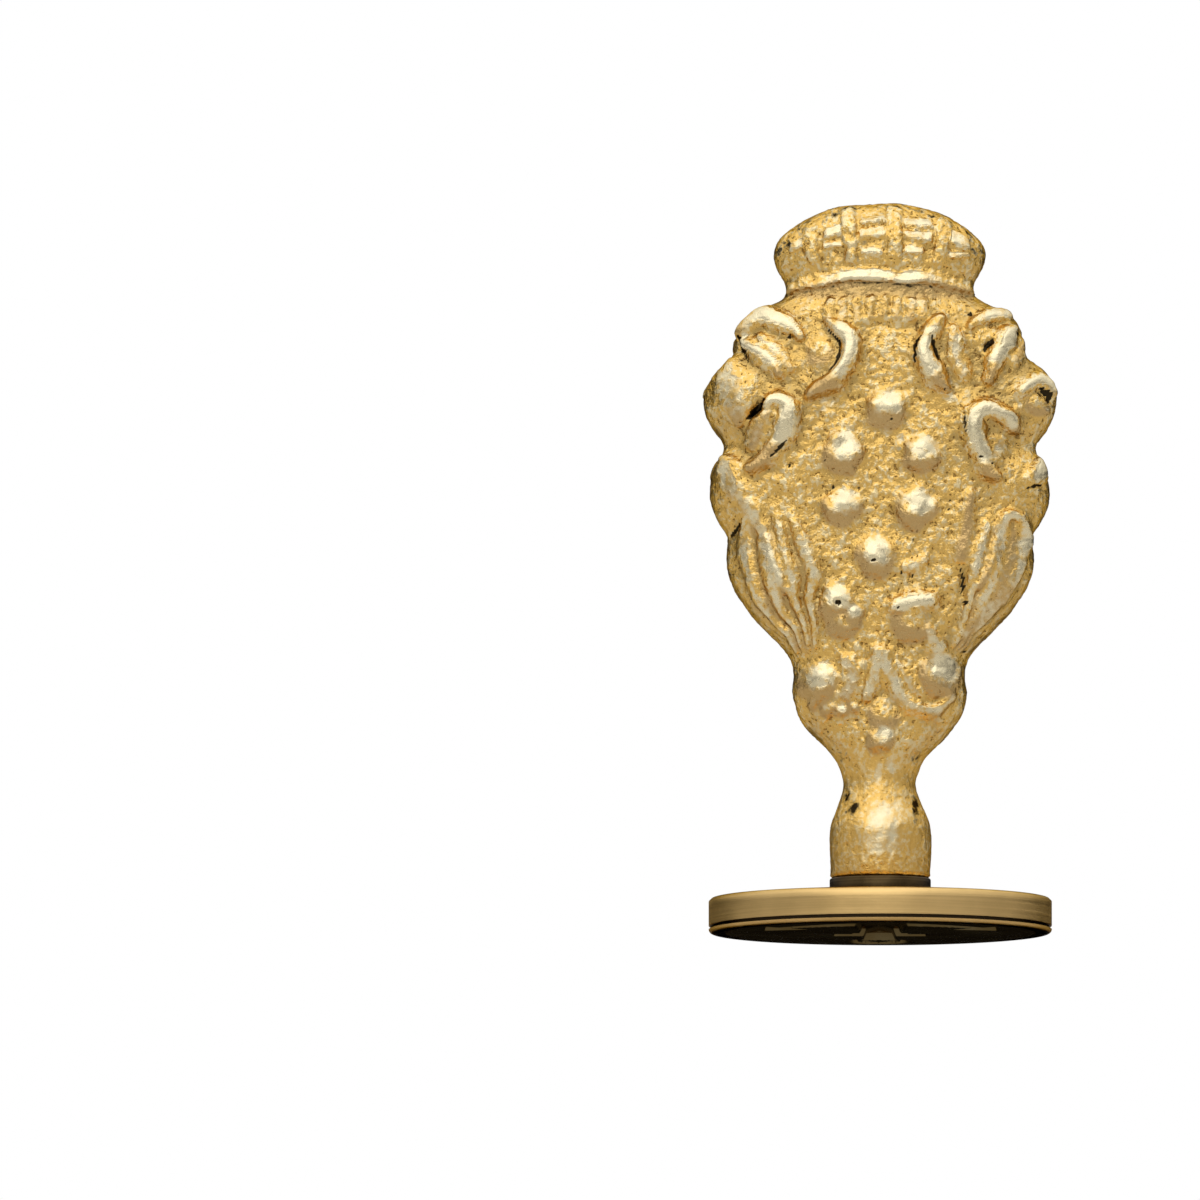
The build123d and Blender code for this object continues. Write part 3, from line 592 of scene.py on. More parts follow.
def wave_field(points, waves):
    """Seeded noise in space: the sum of many plane waves of random direction, length and phase."""
    shortest, longest, height, seed = waves
    draw = np.random.default_rng(seed)
    direction = draw.normal(size=(WAVES, 3))
    direction /= np.linalg.norm(direction, axis=1, keepdims=True)
    length = draw.uniform(shortest, longest, WAVES)
    phase = draw.uniform(0, 2 * pi, WAVES)
    total = np.zeros(points.shape[:-1])
    for way, wave_length, shift in zip(direction, length, phase):
        total += np.sin(points @ (way * 2 * pi / wave_length) + shift)
    return total * height * (2 / WAVES) ** 0.5


def soften(values, cells):
    """A bell-shaped average over about that many cells. Columns go round, rows stop at the ends."""
    reach = int(BELL_REACH * cells)
    offsets = np.arange(-reach, reach + 1)
    weights = np.exp(-0.5 * (offsets / cells) ** 2)
    weights /= weights.sum()
    padded = np.pad(values, ((reach, reach), (0, 0)), mode="edge")
    rows = values.shape[0]
    along = sum(weight * padded[reach + step:reach + step + rows] for step, weight in zip(offsets, weights))
    return sum(weight * np.roll(along, step, axis=1) for step, weight in zip(offsets, weights))


def new_piece(name, points, faces, attributes, body, node, sharp_angle):
    """Makes a mesh from points in millimetres, and rides it on its body in place of its CAD node."""
    mesh = bpy.data.meshes.new(name)
    mesh.from_pydata((points * MM).tolist(), [], faces)
    for title, values in attributes.items():
        layer = mesh.attributes.new(title, "FLOAT", "POINT")
        layer.data.foreach_set("value", np.asarray(values, np.float32))
    mesh.shade_smooth()
    mesh.set_sharp_from_angle(angle=radians(sharp_angle))
    piece = bpy.data.objects.new(name, mesh)
    bpy.context.scene.collection.objects.link(piece)
    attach(piece, body)
    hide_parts(node)
    return piece


def even_angles(count):
    """That many angles round a circle."""
    return np.arange(count) * 2 * pi / count


def turned_rings(profile, angle):
    """Rings of a turned piece: each radius and height of its profile carried round those angles."""
    radius, height = np.asarray(profile, float).T[..., None]
    x = radius * np.cos(angle)
    y = radius * np.sin(angle)
    return np.stack([x, y, np.broadcast_to(height, x.shape)], axis=-1)


def ring_faces(rows, columns, first=0):
    """Quads from ring to ring and round each ring. They face outwards where rings rise and columns run
    anticlockwise."""
    index = first + np.arange(rows * columns).reshape(rows, columns)
    beside = np.roll(index, -1, axis=1)
    quads = np.stack([index[:-1], beside[:-1], beside[1:], index[1:]], axis=-1)
    return index, beside, quads.reshape(-1, 4).tolist()


def closed_tube(rings):
    """Points and faces of a skin over rings, with a fan of triangles to a middle point at each end."""
    rows, columns = rings.shape[:2]
    index, beside, faces = ring_faces(rows, columns)
    points = np.vstack([rings.reshape(-1, 3), rings[0].mean(0), rings[-1].mean(0)])
    low_middle = np.full(columns, rows * columns)
    high_middle = low_middle + 1
    faces += np.stack([low_middle, beside[0], index[0]], axis=-1).tolist()
    faces += np.stack([index[-1], beside[-1], high_middle], axis=-1).tolist()
    return points, faces


class Relief:
    """Height, shine (wear with painted highlight), painted shade, and black staining with painted shadow over
    the crest's face, at points given by offset and rise.
    """

    def __init__(self, offset, rise, ripple):
        self.offset = offset
        self.rise = rise
        self.ripple = ripple
        self.height = np.zeros(offset.shape)
        self.shine = np.zeros(offset.shape)
        self.painted_shade = np.zeros(offset.shape)
        self.stain_and_shadow = np.zeros(offset.shape)

    def near(self, line, reach):
        """Places within reach of a line's box, so that each form is worked out only round itself."""
        low = line.min(0) - reach
        high = line.max(0) + reach
        return ((self.offset > low[0]) & (self.offset < high[0])
                & (self.rise > low[1]) & (self.rise < high[1]))

    def share(self, knots, narrowest):
        """Distance from a smooth line through (offset, rise, half-width, tone) points, in half-widths:
        1 at its left edge and -1 at its right edge. Also the tone at the nearest place of the line."""
        path = curve_through(knots)
        spot = self.near(path[:, :2], path[:, 2].max() * BAND_REACH)
        offset = self.offset[spot]
        rise = self.rise[spot]
        nearest = np.full(offset.shape, 2 * BAND_REACH)
        side = np.ones(offset.shape)
        tone = np.zeros(offset.shape)
        for start, end in zip(path[:-1], path[1:]):
            run = end - start
            part = (offset - start[0]) * run[0] + (rise - start[1]) * run[1]
            part = np.clip(part / (run[0] ** 2 + run[1] ** 2), 0, 1)
            across = offset - start[0] - part * run[0]
            above = rise - start[1] - part * run[1]
            gap = np.hypot(across, above) / np.maximum(start[2] + part * run[2], narrowest)
            closer = gap < nearest
            nearest = np.where(closer, gap, nearest)
            side = np.where(closer, np.where(run[0] * above > run[1] * across, 1, -1), side)
            tone = np.where(closer, start[3] + part * run[3], tone)
        return spot, nearest * side, np.clip(tone, 0, 1)

    def raise_band(self, height, steep_edge, knots):
        """A band along a line. Towards a steep edge its height is the root of 1 - share ** power, with a fine
        line sunk along its foot and painted black as a shadow line. Towards a gentle edge it slopes down over
        a wide flank. Its top takes the shine, a painted highlight, and painted shade where the shine is low."""
        spot, share, shine = self.share(knots, BAND_NARROWEST)
        size = np.abs(share)
        steep = share * steep_edge > 0
        cliff = np.sqrt(np.clip(1 - size ** STEEP_POWER, 0, 1))
        slope = smooth_step(*FLANK, size)
        self.height[spot] = np.maximum(self.height[spot], height * np.where(steep, cliff, slope))
        line = bell((size - LINE_PLACE) / LINE_HALF_WIDTH) * steep * shine
        self.height[spot] -= LINE_DEPTH * line
        top = np.where(steep, smooth_step(*STEEP_TOP, size), smooth_step(*GENTLE_TOP, size))
        self.shine[spot] = np.maximum(self.shine[spot] * (1 - top), top * shine)
        self.painted_shade[spot] = np.maximum(self.painted_shade[spot] * (1 - top), top * (1 - shine))
        self.stain_and_shadow[spot] = np.maximum(self.stain_and_shadow[spot] * (1 - top), line)

    def raise_lump(self, offset, rise, radius, height, shine):
        """A rounded lump, a power of 1 - (distance / radius) squared, with a painted highlight above its
        middle and painted shade under it."""
        across = (self.offset - offset) / radius
        above = (self.rise - rise) / radius
        gap = across ** 2 + above ** 2 + self.ripple
        self.height = np.maximum(self.height, height * np.clip(1 - gap, 0, LUMP_FULLEST) ** LUMP_POWER)
        inside = smooth_step(*LUMP_SHADE, gap)
        highlight_cap = smooth_step(*HIGHLIGHT_CAP, np.hypot(across - CAP_SIDEWAYS, above - CAP_UPWARDS))
        self.shine = np.maximum(self.shine, highlight_cap * shine)
        self.painted_shade = np.maximum(self.painted_shade, inside * (1 - highlight_cap))

    def add_swell(self, offset, rise, half_width, half_height, height):
        """A broad soft swelling, a bell of that size, added on both halves of the face."""
        across = (np.abs(self.offset) - offset) / half_width
        self.height = self.height + height * np.exp(-across ** 2 - ((self.rise - rise) / half_height) ** 2)

    def patch(self, offset, rise, half_width, half_height, strength):
        """A bell of that size and strength, for a tone that changes over the face."""
        across = (self.offset - offset) / half_width
        return strength * np.exp(-across ** 2 - ((self.rise - rise) / half_height) ** 2)

    def sink_line(self, depth, knots):
        """A sunk line, depth times 1 - share squared below what is there, painted black as shadow with
        patina.
        """
        spot, share, darkness = self.share(knots, LINE_NARROWEST)
        inside = np.clip(1 - share ** 2, 0, 1)
        self.height[spot] -= depth * inside
        self.stain_and_shadow[spot] = np.maximum(self.stain_and_shadow[spot], darkness * smooth_step(*SUNK_EDGE, inside))

    def sink_pit(self, offset, rise, radius, depth):
        """A casting pit, depth times 1 - (distance / radius) squared below what is there, and painted black
        as shadow with patina.
        """
        gap = ((self.offset - offset) ** 2 + (self.rise - rise) ** 2) / radius ** 2
        inside = np.clip(1 - gap, 0, 1)
        self.height -= depth * inside
        self.stain_and_shadow = np.maximum(self.stain_and_shadow, smooth_step(*SUNK_EDGE, inside))

    def raise_shelf(self, inside, middle, half, height, shine):
        """A shelf that leans upwards: its height grows from its top edge to a sharp lower edge. It has a
        painted highlight near its top edge and a painted shadow line under it.
        """
        share = (middle + half - self.rise) / (2 * half)
        slope = np.clip(share / SHELF_EDGE, 0, 1) ** SHELF_POWER
        drop = smooth_step(1.0, SHELF_EDGE, share)
        self.height = np.maximum(self.height, height * slope * drop * inside * (share > 0))
        self.shine = np.maximum(self.shine, shine * smooth_step(*SHELF_TOP, share) * drop * inside)
        foot = bell((share - SHELF_LINE_PLACE) / SHELF_LINE_HALF) * inside
        self.stain_and_shadow = np.maximum(self.stain_and_shadow, SHELF_SHADOW_LINE * foot)

    def raise_flutes(self, outer, inner, count, low, high, height, shine):
        """Reeds side by side between two edges that change with the rise: the root of a raised cosine of the
        share across, with a painted highlight on the ridges and painted shade in the grooves."""
        start = smooth_table(outer, self.rise)
        share = (self.offset - start) / (smooth_table(inner, self.rise) - start)
        inside = smooth_step(*FLUTE_OUTER, share) * smooth_step(*FLUTE_INNER, share)
        inside = inside * smooth_step(low - FLUTE_FOOT, low + FLUTE_FOOT, self.rise)
        inside = inside * smooth_step(high + FLUTE_HEAD, high - FLUTE_HEAD, self.rise)
        wave = 0.5 - 0.5 * np.cos(2 * pi * count * share)
        self.height = np.maximum(self.height, height * np.sqrt(wave) * inside)
        self.shine = np.maximum(self.shine, shine * smooth_step(*FLUTE_RIDGE, wave) * inside)
        self.painted_shade = np.maximum(self.painted_shade, FLUTE_SHADE * smooth_step(*FLUTE_GROOVE, wave) * inside)


def crown_top(relief):
    """Chips with a painted highlight between fanned ribs, and a dark edge along the dome, painted shade along
    its outline.
    """
    offset, rise = relief.offset, relief.rise
    fan = 1 + RIB_SPREAD * (rise - RIB_LOW) / (RIB_HIGH - RIB_LOW)
    over = np.maximum(rise - DOME_START, 0) / (DOME_TOP - DOME_START)
    reach = np.hypot(offset / CROWN_HALF_WIDTH, over)
    upright = smooth_step(RIB_LOW - RIB_FADE, RIB_LOW, rise) * smooth_step(*RIB_REACH, reach)
    between = np.ones(offset.shape)
    for place, half in CROWN_RIBS:
        share = np.abs(offset - place * fan) / half
        between *= smooth_step(*RIB_SIDE, share)
        rib = RIB_HEIGHT * upright * np.sqrt(np.clip(1 - share ** RIB_POWER, 0, 1))
        relief.height = np.maximum(relief.height, rib)
    inside = between * smooth_step(*CHIP_REACH, reach)
    for place, middle, half_width, half_height, lean in CROWN_CHIPS:
        across = offset - place
        chip = inside * smooth_step(*CHIP_SIDE, np.abs(across) / half_width)
        relief.raise_shelf(chip, middle + lean * across, half_height, CHIP_HEIGHT, CHIP_SHINE)
    rim = smooth_step(*RIM_REACH, reach) * smooth_step(*RIM_RISE, rise)
    relief.stain_and_shadow = np.maximum(relief.stain_and_shadow, RIM_EDGE_SHADE * rim)


def crown_foot(relief):
    """The raised band along an arc, with a painted highlight and a painted shadow line under it, the plain
    sunk strip under it, painted with shade, and a row of teeth.
    """
    offset, rise = relief.offset, relief.rise
    arc = HEADBAND_RISE - HEADBAND_SAG * offset ** 2
    strip = smooth_step(*STRIP_FOOT, rise) * smooth_step(*STRIP_TOP, rise - arc)
    relief.height = relief.height - STRIP_DEPTH * strip
    relief.painted_shade = np.maximum(relief.painted_shade, STRIP_SHADE * strip)
    shine = HEADBAND_SHINE * smooth_step(*HEADBAND_BRIGHT, np.abs(offset))
    relief.raise_shelf(np.ones(offset.shape), arc, HEADBAND_HALF_WIDTH, HEADBAND_HEIGHT, shine)
    line = bell((rise - arc + HEADBAND_LINE_DROP) / HEADBAND_LINE_HALF)
    line = line * smooth_step(*HEADBAND_LINE_REACH, np.abs(offset))
    relief.stain_and_shadow = np.maximum(relief.stain_and_shadow, HEADBAND_SHADOW_LINE * line)
    top_shine, foot_shine = TOOTH_SHINE
    for place in TEETH:
        top = (place, TOOTH_TOP, TOOTH_HALF_WIDTH * TOOTH_TAPER, top_shine)
        foot = (place, TOOTH_FOOT, TOOTH_HALF_WIDTH, foot_shine)
        relief.raise_band(TOOTH_HEIGHT, 0, (top, foot))


def crest_relief(offset, rise, ripple):
    """All the forms on one face of the crest: heights over its plain surface, and its tones."""
    relief = Relief(offset, rise, ripple)
    crown_top(relief)
    crown_foot(relief)
    relief.raise_flutes(*LEFT_FLUTES)
    relief.raise_flutes(*RIGHT_FLUTES)
    for band in LEFT_SCROLLS + RIGHT_SCROLLS + LEFT_REEDS + RIGHT_REEDS + LOWER_LEAVES:
        relief.raise_band(*band)
    for lump in ROUNDELS + BOSSES:
        relief.raise_lump(*lump)
    for swell in SWELLS:
        relief.add_swell(*swell)
    for line in SUNK_LINES:
        relief.sink_line(*line)
    for pit in PITS:
        relief.sink_pit(*pit)
    for place in SHINE_PATCHES:
        relief.shine = np.maximum(relief.shine, relief.patch(*place))
    for place in STAIN_PATCHES:
        relief.stain_and_shadow = np.maximum(relief.stain_and_shadow, STAIN_PATCH_SHARE * relief.patch(*place))
    return relief


def dome_share(rise, fullness):
    """1 up to the dome's start and 0 at its top, along the curve share ** n + height ** n = 1."""
    height = np.clip((rise - DOME_START) / (DOME_TOP - DOME_START), 0, 1)
    return (1 - height ** fullness) ** (1 / fullness)


def outline_half_width(rise):
    """Half-width of the casting: the widest of the neck line and the lobes, softened by a bell,
    with a dome over the crown."""
    fine = np.linspace(OUTLINE_LOW, OUTLINE_HIGH, OUTLINE_SAMPLES)
    width = smooth_table(NECK_WIDTHS, fine)
    for offset, centre, radius in OUTLINE_LOBES:
        lift = radius ** 2 - (fine - centre) ** 2
        width = np.maximum(width, np.where(lift > 0, offset + np.sqrt(np.maximum(lift, 0)), 0))
    step = fine[1] - fine[0]
    reach = int(OUTLINE_BELL_REACH * OUTLINE_SOFTENING / step)
    weights = np.exp(-0.5 * (np.arange(-reach, reach + 1) * step / OUTLINE_SOFTENING) ** 2)
    soft = np.convolve(np.pad(width, reach, mode="edge"), weights / weights.sum(), mode="valid")
    return np.interp(rise, fine, soft) * dome_share(rise, DOME_FULLNESS)


def oval_section(half_width, half_depth, power, angle):
    """A rounded oval: half-width and half-depth times a signed power of the angle's cosine and sine."""
    across = np.cos(angle)
    deep = np.sin(angle)
    return (half_width * np.sign(across) * np.abs(across) ** power,
            half_depth * np.sign(deep) * np.abs(deep) ** power)


def casting_columns():
    """Angles round the casting that give even steps along a nominal crest section."""
    fine = np.linspace(0, 2 * pi, SECTION_SAMPLES)
    across, deep = oval_section(SECTION_HALF_WIDTH, SECTION_HALF_DEPTH, 2 / SECTION_ROUNDNESS, fine)
    length = np.append(0, np.cumsum(np.hypot(np.diff(across), np.diff(deep))))
    return np.interp(np.arange(CASTING_COLUMNS) / CASTING_COLUMNS * length[-1], length, fine)


def surface_normals(rings):
    """Unit normals of a grid of rings: the cross product of its slopes round and along the piece."""
    around = np.roll(rings, -1, axis=1) - np.roll(rings, 1, axis=1)
    along = np.gradient(rings, axis=0)
    normal = np.cross(around, along)
    return normal / np.maximum(np.linalg.norm(normal, axis=2, keepdims=True), SHORTEST_NORMAL)


def plain_casting():
    """Rises, angles and rings of the plain casting. Each ring is a rounded oval
    |x / W| ** n + |y / D| ** n = 1 whose half-width W, half-depth D and power n change with the rise."""
    neck = np.linspace(FOOT_BEVEL, NECK_TOP, NECK_ROWS, endpoint=False)
    crest = np.linspace(NECK_TOP, DOME_START, CREST_ROWS, endpoint=False)
    dome = DOME_START + (DOME_TOP - DOME_START) * np.sin(np.linspace(0, pi / 2, DOME_ROWS + 1)[:-1])
    rise = np.concatenate([neck, crest, dome])[:, None]
    angle = casting_columns()
    depth = smooth_table(NECK_DEPTHS, rise) * dome_share(rise, DOME_DEPTH_FULLNESS)
    x, y = oval_section(outline_half_width(rise), depth, 2 / smooth_table(ROUNDNESS, rise), angle)
    return rise, angle, np.stack([x, y, np.broadcast_to(rise, x.shape)], axis=-1)


def cast_surface(rise, rings):
    """Rings of the cast surface, and its tones. The relief and the cast skin move the plain rings' points
    out along their normals."""
    normal = surface_normals(rings)
    front = np.abs(normal[..., 1])
    facing = smooth_step(*FACING, front)
    on_crest = smooth_step(*CREST, rise)
    x, y = rings[..., 0], rings[..., 1]
    offset = np.where(y < 0, x, -x) + wave_field(rings, WANDER_SIDEWAYS)
    relief = crest_relief(offset, rise + wave_field(rings, WANDER_UPWARDS), wave_field(rings, LUMP_RIPPLE))
    sharp = SCROLL_SHARPNESS * smooth_step(*SCROLLS, rise)
    sharp = sharp + (1 - SCROLL_SHARPNESS) * smooth_step(*CROWN, rise)

    def softened(values):
        """An average with the nearest cells, less of it on the scrolls and none on the crown."""
        return values * sharp + soften(values, FORM_CELLS) * (1 - sharp)

    forms = softened(relief.height) * facing * on_crest
    shine = softened(relief.shine) * facing
    painted_shade = softened(relief.painted_shade) * facing
    rough = 1 - RUBBED_CALM * np.clip(shine + painted_shade, 0, 1)
    rough = rough * (EDGE_SKIN + (1 - EDGE_SKIN) * facing) * (NECK_SKIN + (1 - NECK_SKIN) * on_crest)
    skin = wave_field(rings, GRAIN) * rough + wave_field(rings, PEBBLE) * rough + wave_field(rings, WOBBLE)
    total = forms + skin * smooth_step(*SKIN_FOOT, rise)
    rings = rings + normal * total[..., None]
    upwards = soften(surface_normals(rings)[..., 2], UNDERSIDE_SHADE_CELLS)
    tones = {
        # Painted shade with patina in hollows.
        "hollow": np.clip((soften(total, HOLLOW_CELLS) - total) / HOLLOW_DEPTH, -1, 1),
        # Wear with painted highlight.
        "shine": shine,
        "painted_shade": painted_shade,
        # Black lines and pits: staining with painted shadow.
        "stain_and_shadow": relief.stain_and_shadow * facing,
        # Painted shade on downward-facing surfaces.
        "under": smooth_step(*UNDERSIDE_SHADE, upwards),
        # Dark patina along the edge, also painted shade along the outline.
        "side": smooth_step(*EDGE_PATINA_AND_SHADE, front) * (NECK_EDGE_PATINA_AND_SHADE + (1 - NECK_EDGE_PATINA_AND_SHADE) * on_crest),
        "calm": np.broadcast_to(1 - on_crest, front.shape),
    }
    return rings, tones


def bore_rings(angle):
    """Rings from the blind end of the stud's hole, down its wall and over the foot to its bevelled edge."""
    foot = NECK_WIDTHS[0][1]
    profile = (
        (BORE_TIP_RADIUS, BORE_DEPTH + BORE_TIP), (BORE_RADIUS, BORE_DEPTH), (BORE_RADIUS, BORE_DEPTH / 2),
        (BORE_RADIUS, BORE_BEVEL), (BORE_RADIUS + BORE_BEVEL, 0.0), (foot - FOOT_BEVEL, 0.0),
    )
    return turned_rings(profile, angle)


def make_casting():
    """The handle: the stud's hole and the cast surface, as rings closed at the hole's end and the top."""
    low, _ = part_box("handle")
    rise, angle, plain = plain_casting()
    cast, tones = cast_surface(rise, plain)
    bore = bore_rings(angle)
    rings = np.concatenate([bore, cast])
    rings[..., 2] += low.z / MM
    points, faces = closed_tube(rings)
    bare = np.zeros(bore.size // 3)
    attributes = {name: np.concatenate([bare, tone.ravel(), (0, 0)]) for name, tone in tones.items()}
    return new_piece("handle_casting", points, faces, attributes,
                     "handle", "handle", CASTING_CREASE)


def polygon_distance(x, y, corners):
    """Signed distance to a convex polygon, given anticlockwise: the largest of those past its edges."""
    corners = np.asarray(corners, float)
    distance = np.full(x.shape, -FAR)
    for start, end in zip(corners, np.roll(corners, -1, axis=0)):
        run = (end - start) / np.linalg.norm(end - start)
        distance = np.maximum(distance, (x - start[0]) * run[1] - (y - start[1]) * run[0])
    return distance


def band_distance(x, y, knots):
    """Signed distance to a band of changing half-width along a smooth line: the least of its short spans'."""
    path = curve_through(knots)
    distance = np.full(x.shape, FAR)
    for start, end in zip(path[:-1], path[1:]):
        run = end - start
        part = (x - start[0]) * run[0] + (y - start[1]) * run[1]
        part = np.clip(part / (run[0] ** 2 + run[1] ** 2), 0, 1)
        gap = np.hypot(x - start[0] - part * run[0], y - start[1] - part * run[1])
        distance = np.minimum(distance, gap - start[2] - part * run[2])
    return distance


def cut_depth(distance):
    """Depth of a cut inside its edge: a steep wall, and then a floor that falls gently to the middle line."""
    inside = np.maximum(-distance, 0)
    return (CUT_WALL_DEPTH * smooth_step(0, CUT_WALL, inside)
            + CUT_FLOOR_DEPTH * np.clip(inside / CUT_FLOOR_RUN, 0, 1))


def anchor_depth(x, y):
    """Depth of the anchor in the sealing face: ring, shank, stock, curved arms, flukes and point. The deepest
    holds, but inside the ring there is only the shallow dish of its eye."""
    ring_x, ring_y, ring_radius, ring_half = ANCHOR_RING
    from_ring = np.hypot(x - ring_x, y - ring_y)
    (left_x, stock_y), (right_x, _), half = ANCHOR_STOCK
    stock = np.maximum(np.maximum(left_x - x, x - right_x), np.abs(y - stock_y) - half)
    bulge_x, bulge_y, bulge_half, bulge_height = ANCHOR_BULGE
    bulge = np.maximum(np.abs(x - bulge_x) - bulge_half, np.abs(y - bulge_y) - bulge_height)
    depth = cut_depth(band_distance(x, y, ANCHOR_SHANK)) * (from_ring > ring_radius)
    for distance in (
        np.abs(from_ring - ring_radius) - ring_half,
        np.minimum(stock, bulge),
        band_distance(np.abs(x), y, ANCHOR_ARM),
        polygon_distance(np.abs(x), y, ANCHOR_FLUKE),
        polygon_distance(x, y, ANCHOR_POINT),
    ):
        depth = np.maximum(depth, cut_depth(distance))
    eye = ANCHOR_EYE_SINK * np.clip(from_ring / ANCHOR_EYE_RADIUS, 0, 1) ** 2
    return np.where(from_ring < ANCHOR_EYE_RADIUS, eye, depth)


def disc_grid(radius):
    """A square grid bent to a disc: each square ring becomes a circle, with its corners on the diagonals."""
    line = np.linspace(-1, 1, FACE_CELLS + 1)
    a, b = np.meshgrid(line, line)
    wide = np.abs(a) > np.abs(b)
    reach = np.where(wide, a, b)
    with np.errstate(divide="ignore", invalid="ignore"):
        angle = np.where(wide, pi / 4 * b / a, pi / 2 - pi / 4 * a / b)
    angle = np.nan_to_num(angle)
    return radius * reach * np.cos(angle), radius * reach * np.sin(angle)


def die_profile():
    """Radius and height round the rounded rim, up the grooved wall, over the bevel, across the back
    and down into the stud's seat."""
    bend = np.linspace(0, pi / 2, RIM_STEPS)[1:]
    rim = np.stack([DIE_RADIUS - DIE_RIM + DIE_RIM * np.sin(bend), DIE_RIM - DIE_RIM * np.cos(bend)], axis=-1)
    groove = [(DIE_RADIUS - depth, rise) for rise, depth in DIE_GROOVE]
    wall = [(DIE_RADIUS, rise) for rise in (*WALL_RISES, DIE_HEIGHT - DIE_BACK_BEVEL)]
    back = [(DIE_RADIUS - DIE_BACK_BEVEL, DIE_HEIGHT), (BACK_RADIUS, DIE_HEIGHT)]
    seat = [
        (SEAT_RADIUS + SEAT_BEVEL, DIE_HEIGHT),
        (SEAT_RADIUS, DIE_HEIGHT - SEAT_BEVEL),
        (SEAT_RADIUS, SEAT_FLOOR),
    ]
    return np.concatenate([rim, groove, wall, back, seat])


def make_die():
    """The die: a disc grid for the face, with the anchor sunk into it, and the rings of its profile."""
    x, y = disc_grid(DIE_RADIUS - DIE_RIM)
    depth = anchor_depth(x, y)
    face = np.stack([x, y, depth], axis=-1).reshape(-1, 3)
    cells = FACE_CELLS + 1
    index = np.arange(cells * cells).reshape(cells, cells)
    quads = np.stack([index[:-1, :-1], index[1:, :-1], index[1:, 1:], index[:-1, 1:]], axis=-1).reshape(-1, 4)
    edge = np.concatenate([index[0, :-1], index[:-1, -1], index[-1, :0:-1], index[:0:-1, 0]])
    angle = np.arctan2(y.ravel()[edge], x.ravel()[edge])
    profile = die_profile()
    rings = turned_rings(profile, angle).reshape(-1, 3)
    ring_index, beside, faces = ring_faces(len(profile), len(angle), len(face))
    faces += np.stack([edge, np.roll(edge, -1), beside[0], ring_index[0]], axis=-1).tolist()
    middle = np.full(len(angle), len(face) + len(rings))
    faces += np.stack([ring_index[-1], beside[-1], middle], axis=-1).tolist()
    faces += quads.tolist()
    points = np.vstack([face, rings, (0, 0, SEAT_FLOOR)])
    sunk = np.clip(depth.ravel() / (CUT_WALL_DEPTH + CUT_FLOOR_DEPTH), 0, 1)
    on_wall = smooth_step(*WALL_TONE, DIE_RADIUS - np.hypot(rings[:, 0], rings[:, 1]))
    # The groove round the wall's foot is painted near black as shade.
    in_groove = (rings[:, 2] > DIE_GROOVE[0][0]) & (rings[:, 2] < DIE_GROOVE[-1][0])
    attributes = {
        "wall": np.concatenate([np.zeros(len(face)), on_wall, (0,)]),
        "cut": np.concatenate([sunk, np.zeros(len(rings) + 1)]),
        "groove_shade": np.concatenate([np.zeros(len(face)), in_groove, (0,)]),
    }
    return new_piece("die_disc", points, faces, attributes, "die", "die", DIE_CREASE)


def make_collar():
    """The collar: a closed profile, bevelled at its four corners, carried round a circle."""
    low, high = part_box("collar")
    bottom = low.z / MM
    top = high.z / MM
    bevel = COLLAR_BEVEL
    shoulder = COLLAR_BEVEL * COLLAR_ROUND
    profile = (
        (COLLAR_BORE + bevel, bottom), (COLLAR_RADIUS - bevel, bottom),
        (COLLAR_RADIUS - shoulder, bottom + shoulder), (COLLAR_RADIUS, bottom + bevel),
        (COLLAR_RADIUS, top - bevel), (COLLAR_RADIUS - shoulder, top - shoulder),
        (COLLAR_RADIUS - bevel, top), (COLLAR_BORE + bevel, top),
        (COLLAR_BORE, top - bevel), (COLLAR_BORE, bottom + bevel),
    )
    points = turned_rings(profile, even_angles(COLLAR_COLUMNS)).reshape(-1, 3)
    index, beside, faces = ring_faces(len(profile), COLLAR_COLUMNS)
    faces += np.stack([index[-1], beside[-1], beside[0], index[0]], axis=-1).tolist()
    return new_piece("collar_ring", points, faces, {}, "collar", "collar", COLLAR_CREASE)


def make_stud():
    """The stud: at each turn and height the radius falls by the thread's depth times a rounded tooth of
    height / pitch minus turn, so the groove climbs one pitch a turn."""
    low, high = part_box("stud")
    bottom = low.z / MM
    top = high.z / MM
    rows = int((top - bottom) / THREAD_PITCH * STUD_ROWS_PER_TURN)
    height = np.linspace(bottom, top, rows)[:, None]
    turn = np.arange(STUD_COLUMNS)[None, :] / STUD_COLUMNS
    tooth = 2 * np.abs((height / THREAD_PITCH - turn) % 1 - 0.5)
    groove = THREAD_DEPTH * smooth_step(*THREAD_FLANK, tooth)
    tip = np.clip((height - top + STUD_TIP_BEVEL) / STUD_TIP_BEVEL, 0, 1) * STUD_TIP_BEVEL
    radius = np.minimum(STUD_RADIUS - groove, STUD_RADIUS - tip)
    x = radius * np.cos(2 * pi * turn)
    y = radius * np.sin(2 * pi * turn)
    rings = np.stack([x, y, np.broadcast_to(height, x.shape)], axis=-1)
    points, faces = closed_tube(rings)
    return new_piece("threaded_stud", points, faces, {}, "die", "stud", STUD_CREASE)


